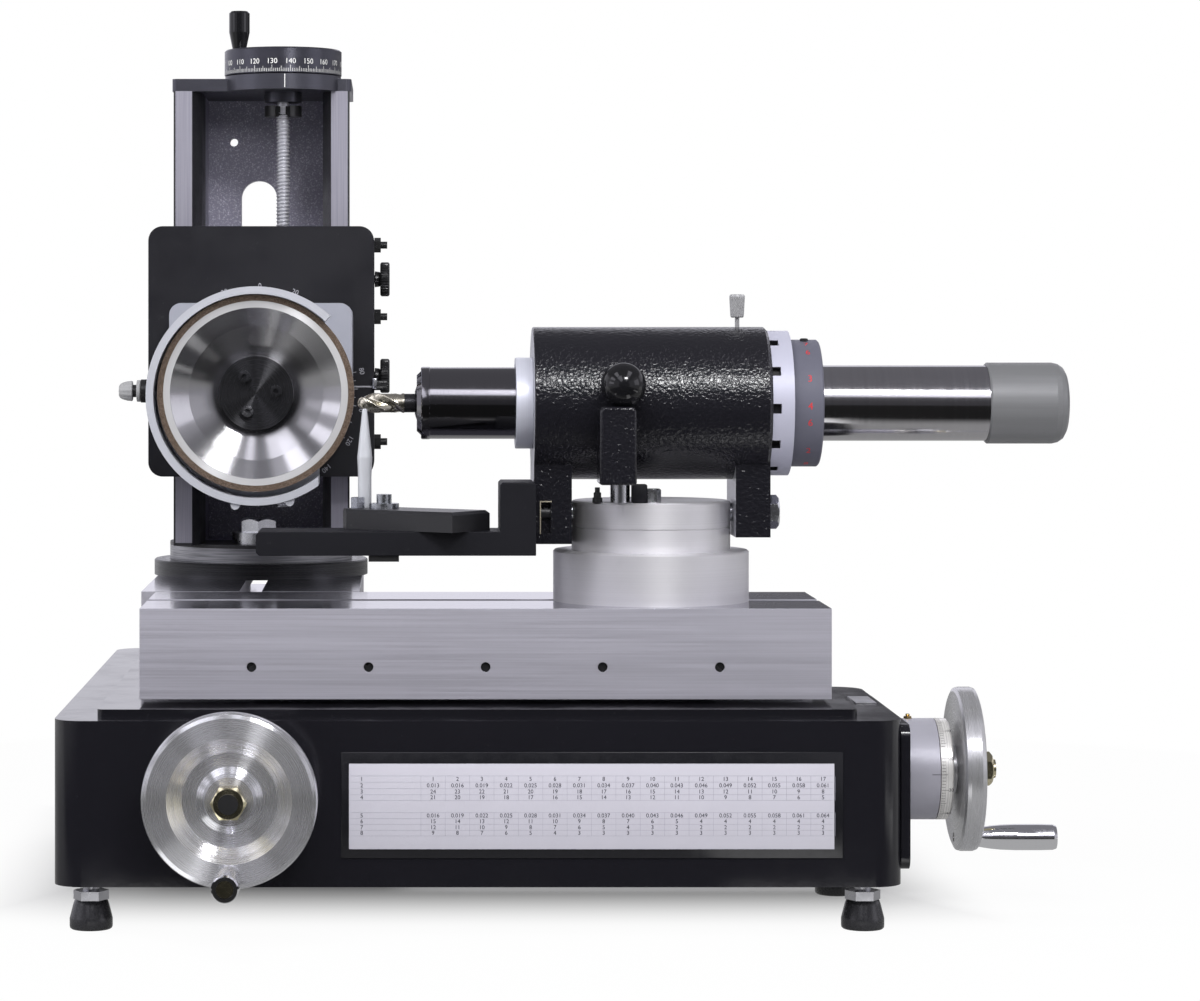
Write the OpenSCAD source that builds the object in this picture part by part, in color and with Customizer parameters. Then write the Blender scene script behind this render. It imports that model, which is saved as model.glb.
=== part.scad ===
// Tool and cutter grinder: base, table, cross slide, column, wheel head and work head.
// Millimetres. +X right, +Y away from the front, +Z up. Measures run from the middle
// of the table in Y, from the floor in Z, and from a plane near the wheel in X.

/* [Base] */
// Width of the cast base
base_w = 516; // [500:2:580]
// Distance from the left face of the base to the zero plane in X
base_left = 209.4; // [205:0.2:230]
// Distance from the table centre line to the front face of the base
base_front = 128; // [120:1:150]
// Depth of the right part of the base
base_d = 211; // [205:1:250]
// Width of the left wing that carries the cross slide
wing_w = 222; // [210:1:250]
// Full depth of the left wing
wing_d = 504; // [490:1:560]
// Height of the base underside above the floor
base_z = 31; // [29:0.5:45]
// Height of the casting without its raised pad
base_h = 100.6; // [96:0.2:130]
// Thickness of the casting walls
base_wall = 14; // [11:0.5:18]
// Thickness of the casting top
base_top = 14; // [10:0.5:18]
// Radius of the plan corners
base_corner = 18; // [16:0.5:26]
// Distance from the edge to the raised pad
pad_inset = 25; // [20:0.5:29]
// Height of the raised pad
pad_h = 4.4; // [2:0.2:8]
// Thickness of the plate on the right end
end_plate_t = 5.6; // [4:0.2:18]
// Thickness of the bottom cover
cover_t = 4; // [3:0.5:6]

/* [Feet] */
// Diameter of the rubber foot
foot_d = 26.5; // [22:0.5:34]
// Height of the rubber foot
foot_pad_h = 18; // [12:0.5:22]
// Distance from the base sides to the left and right feet
foot_side = 20.4; // [18:0.2:30]
// Distance from the front face to the front feet
foot_front = 38; // [26:0.5:50]
// Diameter of the foot stud
foot_stud_d = 10; // [8:0.5:12]
// Width across flats of the foot nut
foot_nut_af = 19; // [17:0.5:22]

/* [Table] */
// Length of the table
table_w = 430; // [400:2:480]
// Distance from the left end of the table to the zero plane in X
table_left = 160.6; // [155:0.2:180]
// Depth of the table and width of the cross slide
table_d = 144.8; // [138:0.2:147]
// Height of the table block and of the cross slide
table_h = 56.4; // [54:0.2:66]
// Gap between the raised pad and the table underside
table_gap = 3; // [2:0.2:5]
// Width of the T-slot at the top of the table
table_slot_w = 12.7; // [12.5:0.1:15]
// Half of the dovetail neck width
way_neck = 30; // [24:0.5:34]
// Height of the dovetail ways
way_h = 32; // [28:0.5:33]
// Thickness of the gib strips
gib_t = 4; // [3:0.2:6]
// Running gap of the slides
slide_gap = 0.05; // [0.02:0.01:0.1]
// Diameter of the gib set screws
gib_screw_d = 6; // [4:0.5:7]
// Spacing of the five set screws on the table
gib_pitch = 72.75; // [64:0.25:78]

/* [Cross slide] */
// Length of the cross slide
cross_len = 290; // [280:1:300]
// Distance from the zero plane to the centre of the cross slide, to the left
cross_left = 98; // [96:0.5:102]
// Gap between the table and the cross slide
cross_gap = 3.6; // [3:0.2:8]
// Width of the T-slot in the cross slide
cross_slot_w = 15; // [12:0.5:18]

/* [Feed screws] */
// Height of the table feed screw above the floor
x_screw_z = 87.2; // [84:0.2:92]
// Height of the cross feed screw above the floor
y_screw_z = 89; // [84:0.2:92]
// Diameter of the feed screws
screw_d = 16; // [14:0.5:18]
// Radial clearance of shafts in their holes
fit = 0.05; // [0.02:0.01:0.1]
// Diameter of the bearing collars and dials
dial_d = 64.6; // [50:0.2:72]
// Length of the table screw collar
x_collar_l = 31.8; // [18:0.2:40]
// Length of the cross screw collar
y_collar_l = 22; // [18:0.5:32]
// Width of the graduated dials
dial_w = 8; // [6:0.5:12]
// Diameter of the handwheels
hand_d = 104.7; // [90:0.5:112]
// Depth of the handwheel from hub back to rim face
hand_t = 18; // [16:0.5:22]
// Distance of the crank handle from the handwheel axis
crank_r = 44; // [36:0.5:45]
// Length of the crank handle
handle_l = 52; // [40:1:70]
// Largest diameter of the crank handle
handle_d = 16.6; // [13:0.2:20]
// Diameter of the crank handle at the wheel
handle_d0 = 11.8; // [11:0.2:13]

/* [Swivel base and column] */
// Diameter of the graduated swivel base
swivel_d = 152.4; // [150:0.2:160]
// Thickness of the swivel base
swivel_t = 11; // [10:0.5:14]
// Distance from the table centre line to the column swivel axis
column_back = 260; // [250:1:270]
// Diameter of the column foot
column_foot_d = 130; // [120:0.5:140]
// Thickness of the column foot
column_foot_t = 12.6; // [11:0.2:18]
// Width of the column across its rails
column_w = 123; // [116:0.5:126]
// Width of each ground rail on the front of the column
rail_face = 13; // [11:0.5:14]
// Distance from the swivel axis to the rails
rail_front = 60; // [56:0.5:64]
// Depth of the column from the rails to its back
column_d = 112; // [100:1:125]
// Height of the column above its foot
column_h = 317.4; // [300:0.2:380]
// Thickness of the column walls
column_wall = 11; // [8:0.5:14]
// Thickness of the column top plate
top_plate_t = 8.7; // [6:0.1:14]
// Radius of the arched window in the back of the column
window_r = 13; // [8:0.5:20]

/* [Height feed] */
// Distance from the zero plane to the height screw, to the left
z_screw_left = 80.8; // [79:0.2:92]
// Distance of the height screw behind the rails
z_screw_back = 15; // [14:0.5:24]
// Diameter of the height screw
z_screw_d = 8.5; // [7:0.1:9]
// Height of the lower end of the height screw above the column foot
z_screw_end = 26; // [20:0.5:40]
// Diameter of the collar under the top plate and of the boss above it
z_collar_d = 26; // [20:0.5:27]
// Thickness of the collar
z_collar_t = 7.5; // [4:0.1:7.5]
// Rise of the round flange above the top plate
flange_rise = 1.9; // [1:0.1:6]
// Diameter of the graduated handwheel
z_dial_d = 82.2; // [76:0.2:96]
// Height of the graduated handwheel
z_dial_h = 18; // [14:0.1:24]
// Distance of its handle from the screw
z_crank_r = 32; // [26:0.5:33]
// Height of its handle
z_handle_h = 26.9; // [20:0.1:40]
// Largest diameter of its handle
z_handle_d = 14.4; // [13:0.1:16]

/* [Head slide] */
// Width of the head plate
plate_w = 155.9; // [154:0.1:168]
// Height of the head plate
plate_h = 173; // [165:0.5:190]
// Height of the head plate underside above the floor
plate_z = 268; // [264:0.5:276]
// Thickness of the plate in front of the rails
plate_t = 30; // [24:0.5:34]
// Corner radius of the plate
plate_corner = 10; // [6:0.5:14]
// Diameter of the lock knobs
knob_d = 24; // [16:0.5:28]
// Length of the lock knobs
knob_l = 6.6; // [5:0.2:12]

/* [Wheel head] */
// Distance from the zero plane to the wheel axis, to the left
wheel_left = 91.8; // [90:0.1:94]
// Height of the wheel axis above the floor
wheel_z = 328; // [326:0.2:332]
// Width of the motor frame
motor_w = 122; // [110:0.5:126]
// Length of the motor frame
motor_l = 60; // [50:0.5:64]
// Thickness of the tilting disc behind the motor
tilt_t = 20; // [16:0.5:24]
// Diameter of the tilting disc
tilt_d = 110; // [100:0.5:112]
// Diameter of the motor nose
nose_d = 60; // [56:0.5:66]
// Diameter of the wheel arbor
arbor_d = 19; // [16:0.5:22]
// Outer diameter of the grinding wheel
wheel_d = 127; // [122:0.5:127.6]
// Radial width of the abrasive rim
rim_w = 3.9; // [2:0.1:6]
// Depth of the abrasive rim
rim_t = 6; // [4:0.5:8]
// Distance from the table centre line to the wheel face
wheel_front = 9; // [8.5:0.1:11]
// Outer diameter of the wheel guard
guard_d = 141; // [140:0.5:146]
// Thickness of the guard band
guard_t = 4.8; // [3:0.1:5]
// Depth of the guard band
guard_l = 35; // [32:0.5:36]
// Height of the wheel axis above the middle of the guard
guard_drop = 1.7; // [0:0.1:1.7]

/* [Work head] */
// Distance from the zero plane to the pedestal axis, to the right
ped_x = 162.2; // [158:0.2:172]
// Diameter of the pedestal base disc
ped_d = 125.2; // [118:0.2:134]
// Height of the pedestal base disc
ped_h = 32.6; // [28:0.2:40]
// Diameter of the swivel disc
disc_d = 101.6; // [96:0.2:101.8]
// Height of the swivel disc
disc_h = 31.5; // [28:0.1:38]
// Height of the spindle axis above the pedestal base disc
spindle_up = 93.8; // [90:0.2:104]
// Height of the rocking axis above the pedestal base disc
rock_up = 24; // [20:0.2:25]
// Diameter of the housing
house_d = 97.7; // [90:0.1:104]
// Length of the housing
house_l = 149.8; // [145:0.2:170]
// Distance from the pedestal axis to the left face of the housing
house_left = 76.1; // [75:0.1:80]
// Thickness of the housing legs
leg_t = 22; // [18:0.5:24]
// Depth of the housing legs
leg_d = 60; // [54:0.5:62]
// Gap under the housing legs
leg_gap = 5; // [4.5:0.1:8]
// Height of the right leg's underside above that of the left leg
leg_step = 4.2; // [0:0.1:6]
// Diameter of the pivot screws
pivot_d = 12; // [9:0.5:14]

/* [Spindle and indexing] */
// Diameter of the spindle
spindle_d = 48.4; // [47.2:0.1:52]
// Diameter of the spindle nose
nose_spindle_d = 46; // [40:0.1:47]
// Distance from the housing to the front of the spindle nose
nose_out = 69.3; // [62:0.1:74]
// Distance from the housing to the back of the spindle
spindle_out = 140.8; // [120:0.2:150]
// Diameter of the index ring
index_d = 92.8; // [84:0.2:98]
// Width of the index ring
index_w = 13.7; // [10:0.1:18]
// Number of notches in the index ring
index_n = 12; // [8, 12, 16]
// Diameter of the number ring
number_d = 81.4; // [72:0.2:88]
// Width of the number ring
number_w = 19.3; // [14:0.1:26]
// Diameter of the end knob
end_d = 52; // [50:0.5:60]
// Length of the end knob
end_l = 51.3; // [40:0.1:64]
// Diameter of the index pin knob
pin_d = 10; // [8:0.2:14]
// Diameter of the cutter shank
cutter_d = 12; // [10:0.5:12.5]
// Length of the cutter in front of the collet
cutter_out = 38; // [30:0.5:39]

/* [Tooth rest] */
// Depth of the tooth rest arm
arm_d = 48; // [42:0.5:52]
// Thickness of the tooth rest arm
arm_t = 15; // [12:0.5:17]
// Reach of the arm from the housing
arm_l = 174.8; // [165:0.2:182]
// Thickness of the upright
upright_t = 22.4; // [18:0.2:24]
// Height of the upright above the arm
upright_h = 30.8; // [28:0.2:36]
// Thickness of the swivelling bar
bar_t = 12.7; // [10:0.1:14.8]
// Length of the swivelling bar
bar_l = 90; // [86:0.5:96]
// Width of the swivelling bar
bar_w = 42; // [34:0.5:44]
// Angle of the bar to the table
bar_angle = 35; // [32:0.5:40]
// Diameter of the tooth rest finger
finger_d = 8.6; // [6:0.1:9.4]
// Length of the taper at the end of the finger
finger_taper = 31; // [16:0.5:32]

/* [Hidden] */
$fn = 96;
base_x0 = -base_left;
base_x1 = base_w - base_left;
end_x = base_x1 + end_plate_t;
base_y0 = -base_front;
base_y1 = base_y0 + base_d;
wing_x1 = base_x0 + wing_w;
wing_y1 = base_y0 + wing_d;
base_z1 = base_z + base_h;
pad_z = base_z1 + pad_h;
roof_z = base_z1 - base_top;
recess = base_wall - 8;
ledge_z = base_z + cover_t;
foot_boss_r = foot_stud_d / 2 + 8;
foot_xs = [base_x0 + foot_side, base_x1 - foot_side, base_x1 - foot_side, base_x0 + foot_side, wing_x1 - foot_side];
foot_ys = [base_y0 + foot_front, base_y0 + foot_front, base_y1 - foot_front, wing_y1 - foot_front, wing_y1 - foot_front];
cover_xs = [base_x0 + 10.3, base_x1 - 10.3, (base_x0 + base_x1) / 2, base_x0 + 10.3, wing_x1 - 10.3, (base_x1 + wing_x1) / 2];
cover_ys = [base_y0 + 90, base_y0 + 90, base_y0 + 10.3, base_y1 + 60, base_y1 + 120, base_y1 - 10.3];

table_x0 = -table_left;
table_x1 = table_x0 + table_w;
table_y = table_d / 2;
table_z0 = pad_z + table_gap;
top_z = table_z0 + table_h;
neck_z = pad_z + 9;
way_top = pad_z + way_h;
way_half = way_neck + (way_top - neck_z) * tan(30);
x_mid = (table_x0 + table_x1) / 2;
x_way_half = 146;
x_reach = [-36, 50];
y_reach = [-2, 60];
nut_half = 15;
nut_stem = 14;
slot_w = nut_stem + 4;

cross_x = -cross_left;
cross_y0 = table_y + cross_gap;
cross_y1 = cross_y0 + cross_len;
cross_mid = (cross_y0 + cross_y1) / 2;
y_screw_x = cross_x - 2;
y_way_y0 = cross_y0 + 16;
y_way_y1 = cross_y1 - 16;

x_screw_x0 = -60;
journal_r = screw_d / 2 - 1;
thread_r = 6;
x_dial_x = end_x + x_collar_l;
x_hub_x = x_dial_x + dial_w;
x_face = x_hub_x + hand_t;
y_dial_y = base_y0 - y_collar_l;
y_hub_y = y_dial_y - dial_w;
y_face = y_hub_y - hand_t;
y_screw_y1 = cross_mid + y_reach[1] + 36;

swivel_z1 = top_z + swivel_t;
column_y = column_back;
foot_z1 = swivel_z1 + column_foot_t;
column_z1 = foot_z1 + column_h;
column_x = cross_x + 2.6;
rail_y = column_y - rail_front;
column_y1 = rail_y + column_d;
rail_t = 18;
rail_in = 8;
inner_half = column_w / 2 - rail_in - column_wall;
window_x = column_x - 5.7;
bolt_y = column_y - 38;
bolt_r = 6;

z_x = -z_screw_left;
z_y = rail_y + z_screw_back;
flange_z1 = column_z1 + top_plate_t + flange_rise;
z_dial_z = flange_z1 + 0.6;
z_dial_z1 = z_dial_z + z_dial_h;
z_screw_r = z_screw_d / 2;
z_crank = [-0.947 * z_crank_r, -0.322 * z_crank_r];

plate_x0 = column_x - column_w / 2 - 15.6;
plate_x1 = plate_x0 + plate_w;
plate_y0 = rail_y - plate_t;
plate_z1 = plate_z + plate_h;
cheek_y1 = rail_y + rail_t;
gib_mid_y = rail_y + 11;
gib_zs = [plate_z + 23, plate_z + 0.64 * plate_h, plate_z1 - 12];
knob_zs = [plate_z1 - 36, plate_z + 0.4 * plate_h];

wheel_x = -wheel_left;
motor_x = wheel_x;
motor_z = wheel_z - 2;
tilt_y0 = plate_y0 - tilt_t;
motor_y0 = tilt_y0 - motor_l;
arbor_r = arbor_d / 2;
nose_r = nose_d / 2;
guard_y0 = wheel_front - 6;
guard_y1 = guard_y0 + guard_l;
guard_r = guard_d / 2;
guard_z = wheel_z - guard_drop;
wheel_r = wheel_d / 2;
nose_y0 = guard_y1 + 2;
hub_y = wheel_front + 15;
seat_y = wheel_front + 25;
core_r = wheel_r - rim_w;
hub_screw_at = arbor_r + 3.5;
hub_screw_as = [5, 125, 245];
gland_y = motor_y0 + motor_l / 3;

ped_z1 = top_z + ped_h;
disc_z1 = ped_z1 + disc_h;
axis_z = ped_z1 + spindle_up;
rock_z = ped_z1 + rock_up;
house_x0 = ped_x - house_left;
house_x1 = house_x0 + house_l;
leg_z0 = ped_z1 + leg_gap;
leg_in = 24;
bush_r = nose_spindle_d / 2 + 5;
bush_in = 20;
spindle_r = spindle_d / 2;
nose_sr = nose_spindle_d / 2;
sleeve_r = spindle_r + 5.8;
sleeve_x0 = house_x1 - 50;
shoulder_x = house_x0 + bush_in + 24;
nose_x = house_x0 - nose_out;
spindle_x1 = house_x1 + spindle_out;
number_x0 = house_x1 + index_w;
number_x1 = number_x0 + number_w;
pin_x = house_x1 - 18.3;
house_r = house_d / 2;
cutter_r = cutter_d / 2;
cutter_tip = nose_x - 4.8 - cutter_out;
stop_x = ped_x - 22;
stop_y = -36;
lever_z0 = disc_z1 + 11.5;
lever_y0 = -house_r - 27;

arm_z0 = ped_z1 - 0.3;
arm_z1 = arm_z0 + arm_t;
arm_y1 = -17;
arm_y0 = arm_y1 - arm_d;
arm_x0 = house_x0 - arm_l;
upright_x0 = house_x0 - upright_t;
bar_z1 = arm_z1 + bar_t;
clamp_x = house_x0 - 95;
clamp_y = arm_y1 - 8;
bar_u = 66.4;
bar_v = 20.7;
finger_u = bar_l - 5.5;
finger_v = 25;
finger_z1 = axis_z - 3.4;
clamp_r = 4;

// Middle of the whole machine, so that the origin is under its centre.
far_x = max(spindle_x1 + end_l, x_face + handle_l);
near_y = y_face - handle_l;
centre_x = (base_x0 + far_x) / 2;
centre_y = (near_y + max(wing_y1, cross_y1)) / 2;

black_c = [0.06, 0.06, 0.07];
steel_c = [0.72, 0.72, 0.73];
alu_c = [0.78, 0.79, 0.8];
dark_c = [0.16, 0.16, 0.17];
zinc_c = [0.8, 0.74, 0.5];
rubber_c = [0.1, 0.1, 0.1];
brass_c = [0.78, 0.62, 0.3];

module at_origin() {
  translate([-centre_x, -centre_y, 0]) children();
}

module box(x0, x1, y0, y1, z0, z1) {
  translate([x0, y0, z0]) cube([x1 - x0, y1 - y0, z1 - z0]);
}

module rod_x(r, x0, x1, y, z) {
  translate([x0, y, z]) rotate([0, 90, 0]) cylinder(r = r, h = x1 - x0);
}

module rod_y(r, y0, y1, x, z) {
  translate([x, y1, z]) rotate([90, 0, 0]) cylinder(r = r, h = y1 - y0);
}

module rod_z(r, z0, z1, x, y) {
  translate([x, y, z0]) cylinder(r = r, h = z1 - z0);
}

module hex(af, h) {
  cylinder(d = af / cos(30), h = h, $fn = 6);
}

// A hexagon with turned corners on its outer end.
module hex_chamfered(af, h) {
  intersection() {
    hex(af, h);
    union() {
      cylinder(r = af, h = h - af * 0.09);
      translate([0, 0, h - af * 0.09]) cylinder(r1 = af / cos(30) / 2, r2 = af * 0.47, h = af * 0.09);
    }
  }
}

module rrect(x0, x1, y0, y1, r) {
  translate([x0 + r, y0]) square([x1 - x0 - 2 * r, y1 - y0]);
  translate([x0, y0 + r]) square([x1 - x0, y1 - y0 - 2 * r]);
  for (x = [x0 + r, x1 - r], y = [y0 + r, y1 - r])
    translate([x, y]) circle(r = r);
}

module base_plan(in) {
  rrect(base_x0 + in, base_x1 - in, base_y0 + in, base_y1 - in, max(base_corner - in, 4));
  rrect(base_x0 + in, wing_x1 - in, base_y0 + in, wing_y1 - in, max(base_corner - in, 4));
}

module foot_circles(r) {
  for (i = [0:4])
    translate([foot_xs[i], foot_ys[i]]) circle(r = r);
}

module nut_slot_x() {
  box(x_mid + x_reach[0] - nut_half - 2, x_mid + x_reach[1] + nut_half + 2, -slot_w / 2, slot_w / 2, roof_z - 1, way_top + 1);
}

module nut_slot_y() {
  box(y_screw_x - slot_w / 2, y_screw_x + slot_w / 2, cross_mid + y_reach[0] - nut_half - 2, cross_mid + y_reach[1] + nut_half + 2, roof_z - 1, way_top + 1);
}

module base_casting() {
  color(black_c) at_origin() difference() {
    union() {
      translate([0, 0, base_z]) linear_extrude(base_h) base_plan(0);
      translate([0, 0, base_z1 - 1]) linear_extrude(pad_h + 1) base_plan(pad_inset);
    }
    translate([0, 0, base_z - 1]) linear_extrude(roof_z - base_z + 1) difference() {
      base_plan(base_wall);
      foot_circles(foot_boss_r);
    }
    translate([0, 0, base_z - 1]) linear_extrude(cover_t + 1) difference() {
      base_plan(recess);
      foot_circles(foot_boss_r);
    }
    nut_slot_x();
    nut_slot_y();
    rod_x(screw_d / 2 + 1, base_x1 - base_wall - 1, base_x1 + 1, 0, x_screw_z);
    rod_y(screw_d / 2 + 1, base_y0 - 1, base_y0 + base_wall + 1, y_screw_x, y_screw_z);
    for (i = [0:4])
      rod_z(foot_stud_d / 2 + 0.02, base_z - 1, base_z + 24, foot_xs[i], foot_ys[i]);
    for (i = [0:5])
      rod_z(2.02, ledge_z - 1, ledge_z + 12, cover_xs[i], cover_ys[i]);
  }
}

module base_cover() {
  color(dark_c) at_origin() {
    difference() {
      translate([0, 0, base_z]) linear_extrude(cover_t) difference() {
        base_plan(recess + 0.3);
        foot_circles(foot_boss_r + 0.3);
      }
      for (i = [0:5]) {
        rod_z(2.2, base_z - 1, ledge_z + 1, cover_xs[i], cover_ys[i]);
        rod_z(3.4, base_z - 1, base_z + 2, cover_xs[i], cover_ys[i]);
      }
    }
    for (i = [0:5]) {
      rod_z(2, base_z + 0.5, ledge_z + 10, cover_xs[i], cover_ys[i]);
      rod_z(3.3, base_z + 0.2, base_z + 1.95, cover_xs[i], cover_ys[i]);
    }
  }
}

module base_end_plate() {
  color(black_c) at_origin() difference() {
    translate([end_x, 0, 0]) rotate([0, -90, 0]) linear_extrude(end_plate_t)
      rrect(base_z + 8, base_z1 - 4, base_y0 + 14, base_y1 - 14, 8);
    rod_x(screw_d / 2 + 1, base_x1 - 1, end_x + 1, 0, x_screw_z);
  }
}

module foot_pads() {
  color(rubber_c) at_origin() for (i = [0:4])
    translate([foot_xs[i], foot_ys[i], 0]) difference() {
      union() {
        cylinder(d1 = foot_d, d2 = foot_d - 2.5, h = foot_pad_h - 3);
        translate([0, 0, foot_pad_h - 3]) cylinder(d1 = foot_d - 2.5, d2 = foot_d - 5, h = 3);
      }
      translate([0, 0, 5]) cylinder(r = foot_stud_d / 2 + 0.02, h = foot_pad_h);
    }
}

module foot_studs() {
  color(steel_c) at_origin() for (i = [0:4]) {
    rod_z(foot_stud_d / 2, 5, base_z + 22, foot_xs[i], foot_ys[i]);
    translate([foot_xs[i], foot_ys[i], base_z - 4.2]) difference() {
      hex(foot_nut_af, 4.2);
      translate([0, 0, -1]) cylinder(r = foot_stud_d / 2 + 0.02, h = 8);
    }
    translate([foot_xs[i], foot_ys[i], foot_pad_h]) difference() {
      hex(foot_nut_af, 5.6);
      translate([0, 0, -1]) cylinder(r = foot_stud_d / 2 + 0.02, h = 8);
    }
  }
}

// Half section of a dovetail way: s runs across, t up.
module way_section() {
  polygon([
    [-way_neck, pad_z], [-way_neck, neck_z], [-way_half, way_top],
    [way_half, way_top], [way_neck, neck_z], [way_neck, pad_z]
  ]);
}

// Groove in a slide, with room for the gib on its negative side.
module groove_section() {
  a = way_neck + slide_gap;
  b = way_half + slide_gap;
  polygon([
    [-a, table_z0 - 1], [-a, neck_z], [-a - gib_t, neck_z], [-b - gib_t, way_top + slide_gap],
    [b, way_top + slide_gap], [a, neck_z], [a, table_z0 - 1]
  ]);
}

module gib_section() {
  a = way_neck + slide_gap;
  b = way_half + slide_gap;
  polygon([[-a - gib_t, neck_z], [-b - gib_t, way_top + slide_gap], [-b, way_top + slide_gap], [-a, neck_z]]);
}

// Turns a section (across, up) into a bar along X from x0 to x1.
module along_x(x0, x1) {
  translate([x0, 0, 0]) rotate([90, 0, 90]) linear_extrude(x1 - x0) children();
}

// Turns a section (across, up) into a bar along Y from y0 to y1.
module along_y(y0, y1, x) {
  translate([x, y1, 0]) rotate([90, 0, 0]) linear_extrude(y1 - y0) children();
}

module tee_section(w, z) {
  translate([-w / 2, z - 8]) square([w, 9]);
  translate([-w / 2 - 4.5, z - 15]) square([w + 9, 7]);
}

module x_way() {
  color(steel_c) at_origin() difference() {
    along_x(x_mid - x_way_half, x_mid + x_way_half) way_section();
    nut_slot_x();
  }
}

module y_way() {
  color(steel_c) at_origin() difference() {
    along_y(y_way_y0, y_way_y1, cross_x) way_section();
    nut_slot_y();
  }
}

module screw_bearings() {
  color(alu_c) at_origin() {
    difference() {
      union() {
        rod_x(dial_d / 2, end_x, end_x + x_collar_l - 0.3, 0, x_screw_z);
        rod_x(nut_half, x_screw_x0, x_screw_x0 + 16, 0, x_screw_z);
        box(x_screw_x0, x_screw_x0 + 16, -nut_half, nut_half, x_screw_z, roof_z);
      }
      rod_x(journal_r + fit, base_x1, x_dial_x, 0, x_screw_z);
      rod_x(screw_d / 2 + fit, x_screw_x0 - 1, x_screw_x0 + 17, 0, x_screw_z);
    }
    difference() {
      union() {
        rod_y(dial_d / 2, y_dial_y + 0.3, base_y0, y_screw_x, y_screw_z);
        rod_y(nut_half, y_screw_y1 - 16, y_screw_y1, y_screw_x, y_screw_z);
        box(y_screw_x - nut_half, y_screw_x + nut_half, y_screw_y1 - 16, y_screw_y1, y_screw_z, roof_z);
      }
      rod_y(journal_r + fit, y_dial_y, base_y0 + 1, y_screw_x, y_screw_z);
      rod_y(screw_d / 2 + fit, y_screw_y1 - 17, y_screw_y1 + 1, y_screw_x, y_screw_z);
    }
  }
}

module x_table() {
  color(steel_c) at_origin() difference() {
    box(table_x0, table_x1, -table_y, table_y, table_z0, top_z);
    along_x(table_x0 - 1, table_x1 + 1) groove_section();
    along_x(table_x0 - 1, table_x1 + 1) tee_section(table_slot_w, top_z);
    for (i = [-2:2])
      rod_y(gib_screw_d / 2 + 0.05, -table_y - 1, -way_neck - gib_t, x_mid + i * gib_pitch, neck_z + 14);
  }
}

module x_gib() {
  color(steel_c) at_origin() {
    along_x(x_mid - x_way_half - 20, x_mid + x_way_half + 20) gib_section();
    for (i = [-2:2])
      rod_y(gib_screw_d / 2, -table_y + 2, -way_half - gib_t - 0.2, x_mid + i * gib_pitch, neck_z + 14);
  }
}

module x_nut() {
  color(brass_c) at_origin() difference() {
    union() {
      box(x_mid - nut_half, x_mid + nut_half, -nut_stem / 2, nut_stem / 2, x_screw_z, way_top + slide_gap);
      box(x_mid - nut_half, x_mid + nut_half, -nut_half, nut_half, x_screw_z - nut_half, x_screw_z + nut_half);
    }
    rod_x(screw_d / 2 + fit, x_mid - nut_half - 1, x_mid + nut_half + 1, 0, x_screw_z);
  }
}

module pedestal_base() {
  color(dark_c) at_origin() difference() {
    union() {
      translate([ped_x, 0, top_z]) cylinder(d = ped_d, h = ped_h - 1);
      translate([ped_x, 0, ped_z1 - 1]) cylinder(d1 = ped_d, d2 = ped_d - 2, h = 1);
    }
    rod_z(22 + fit, ped_z1 - 18, ped_z1 + 1, ped_x, 0);
    rod_z(6.1, top_z - 1, ped_z1, ped_x, 0);
  }
}

module pedestal_bolt() {
  color(steel_c) at_origin() {
    box(ped_x - 11, ped_x + 11, -table_slot_w / 2 - 4, table_slot_w / 2 + 4, top_z - 14.5, top_z - 8.1);
    rod_z(6, top_z - 9, ped_z1 - 7.5, ped_x, 0);
    translate([ped_x, 0, ped_z1 - 18]) difference() {
      hex(19, 9.5);
      translate([0, 0, -1]) cylinder(r = 6 + fit, h = 12);
    }
  }
}

// Screw body along local Z: thread from 0 to a, journal to b, reduced end to c.
module feed_screw(a, b, c) {
  cylinder(r = screw_d / 2, h = a);
  cylinder(r = journal_r, h = b);
  cylinder(r = thread_r, h = c);
}

module feed_dial() {
  difference() {
    union() {
      cylinder(d = dial_d, h = dial_w - 1);
      translate([0, 0, dial_w - 1]) cylinder(d1 = dial_d, d2 = dial_d - 2, h = 1);
    }
    translate([0, 0, -1]) cylinder(r = journal_r + 0.02, h = dial_w + 2);
  }
}

// Dished handwheel: hub back at 0, rim face at hand_t. The handle pin hole is at [hx, hy].
module feed_wheel(hx, hy) {
  r = hand_d / 2;
  difference() {
    rotate_extrude() polygon([
      [thread_r + 0.02, 0], [15, 0], [16, 4.5], [r - 3, 4.5], [r - 0.6, 5.6], [r, 8],
      [r, hand_t - 3], [r - 0.8, hand_t - 0.8], [r - 3, hand_t], [r - 15, hand_t],
      [r - 19, hand_t - 4], [r - 24, hand_t - 7.5], [20, hand_t - 8], [16, hand_t - 6], [14.5, hand_t],
      [thread_r + 0.02, hand_t]
    ]);
    translate([hx, hy, 0]) cylinder(r = 3.02, h = hand_t + 2);
  }
}

module feed_fixings(hx, hy) {
  translate([0, 0, hand_t]) difference() {
    hex_chamfered(19, 11);
    translate([0, 0, -1]) cylinder(r = thread_r + 0.02, h = 13);
  }
  translate([hx, hy, 6]) cylinder(r = 3, h = hand_t - 6 + handle_l - 1);
  translate([hx, hy, hand_t + handle_l - 4]) cylinder(r = 5, h = 3);
}

module feed_handle() {
  r0 = handle_d0 / 2;
  r1 = handle_d / 2;
  swell = r1 - r0;
  rotate_extrude() polygon([
    [3 + fit, 0.3], [r0 - 0.8, 0.3], [r0, 1.2], [r0 + swell * 0.3, handle_l * 0.1],
    [r0 + swell * 0.62, handle_l * 0.2], [r0 + swell * 0.86, handle_l * 0.32], [r1, handle_l * 0.5],
    [r1, handle_l * 0.82], [r1 - 0.2, handle_l * 0.96], [r1 - 0.9, handle_l],
    [5.3, handle_l], [5.3, handle_l - 4.3], [3 + fit, handle_l - 4.3]
  ]);
}

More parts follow.
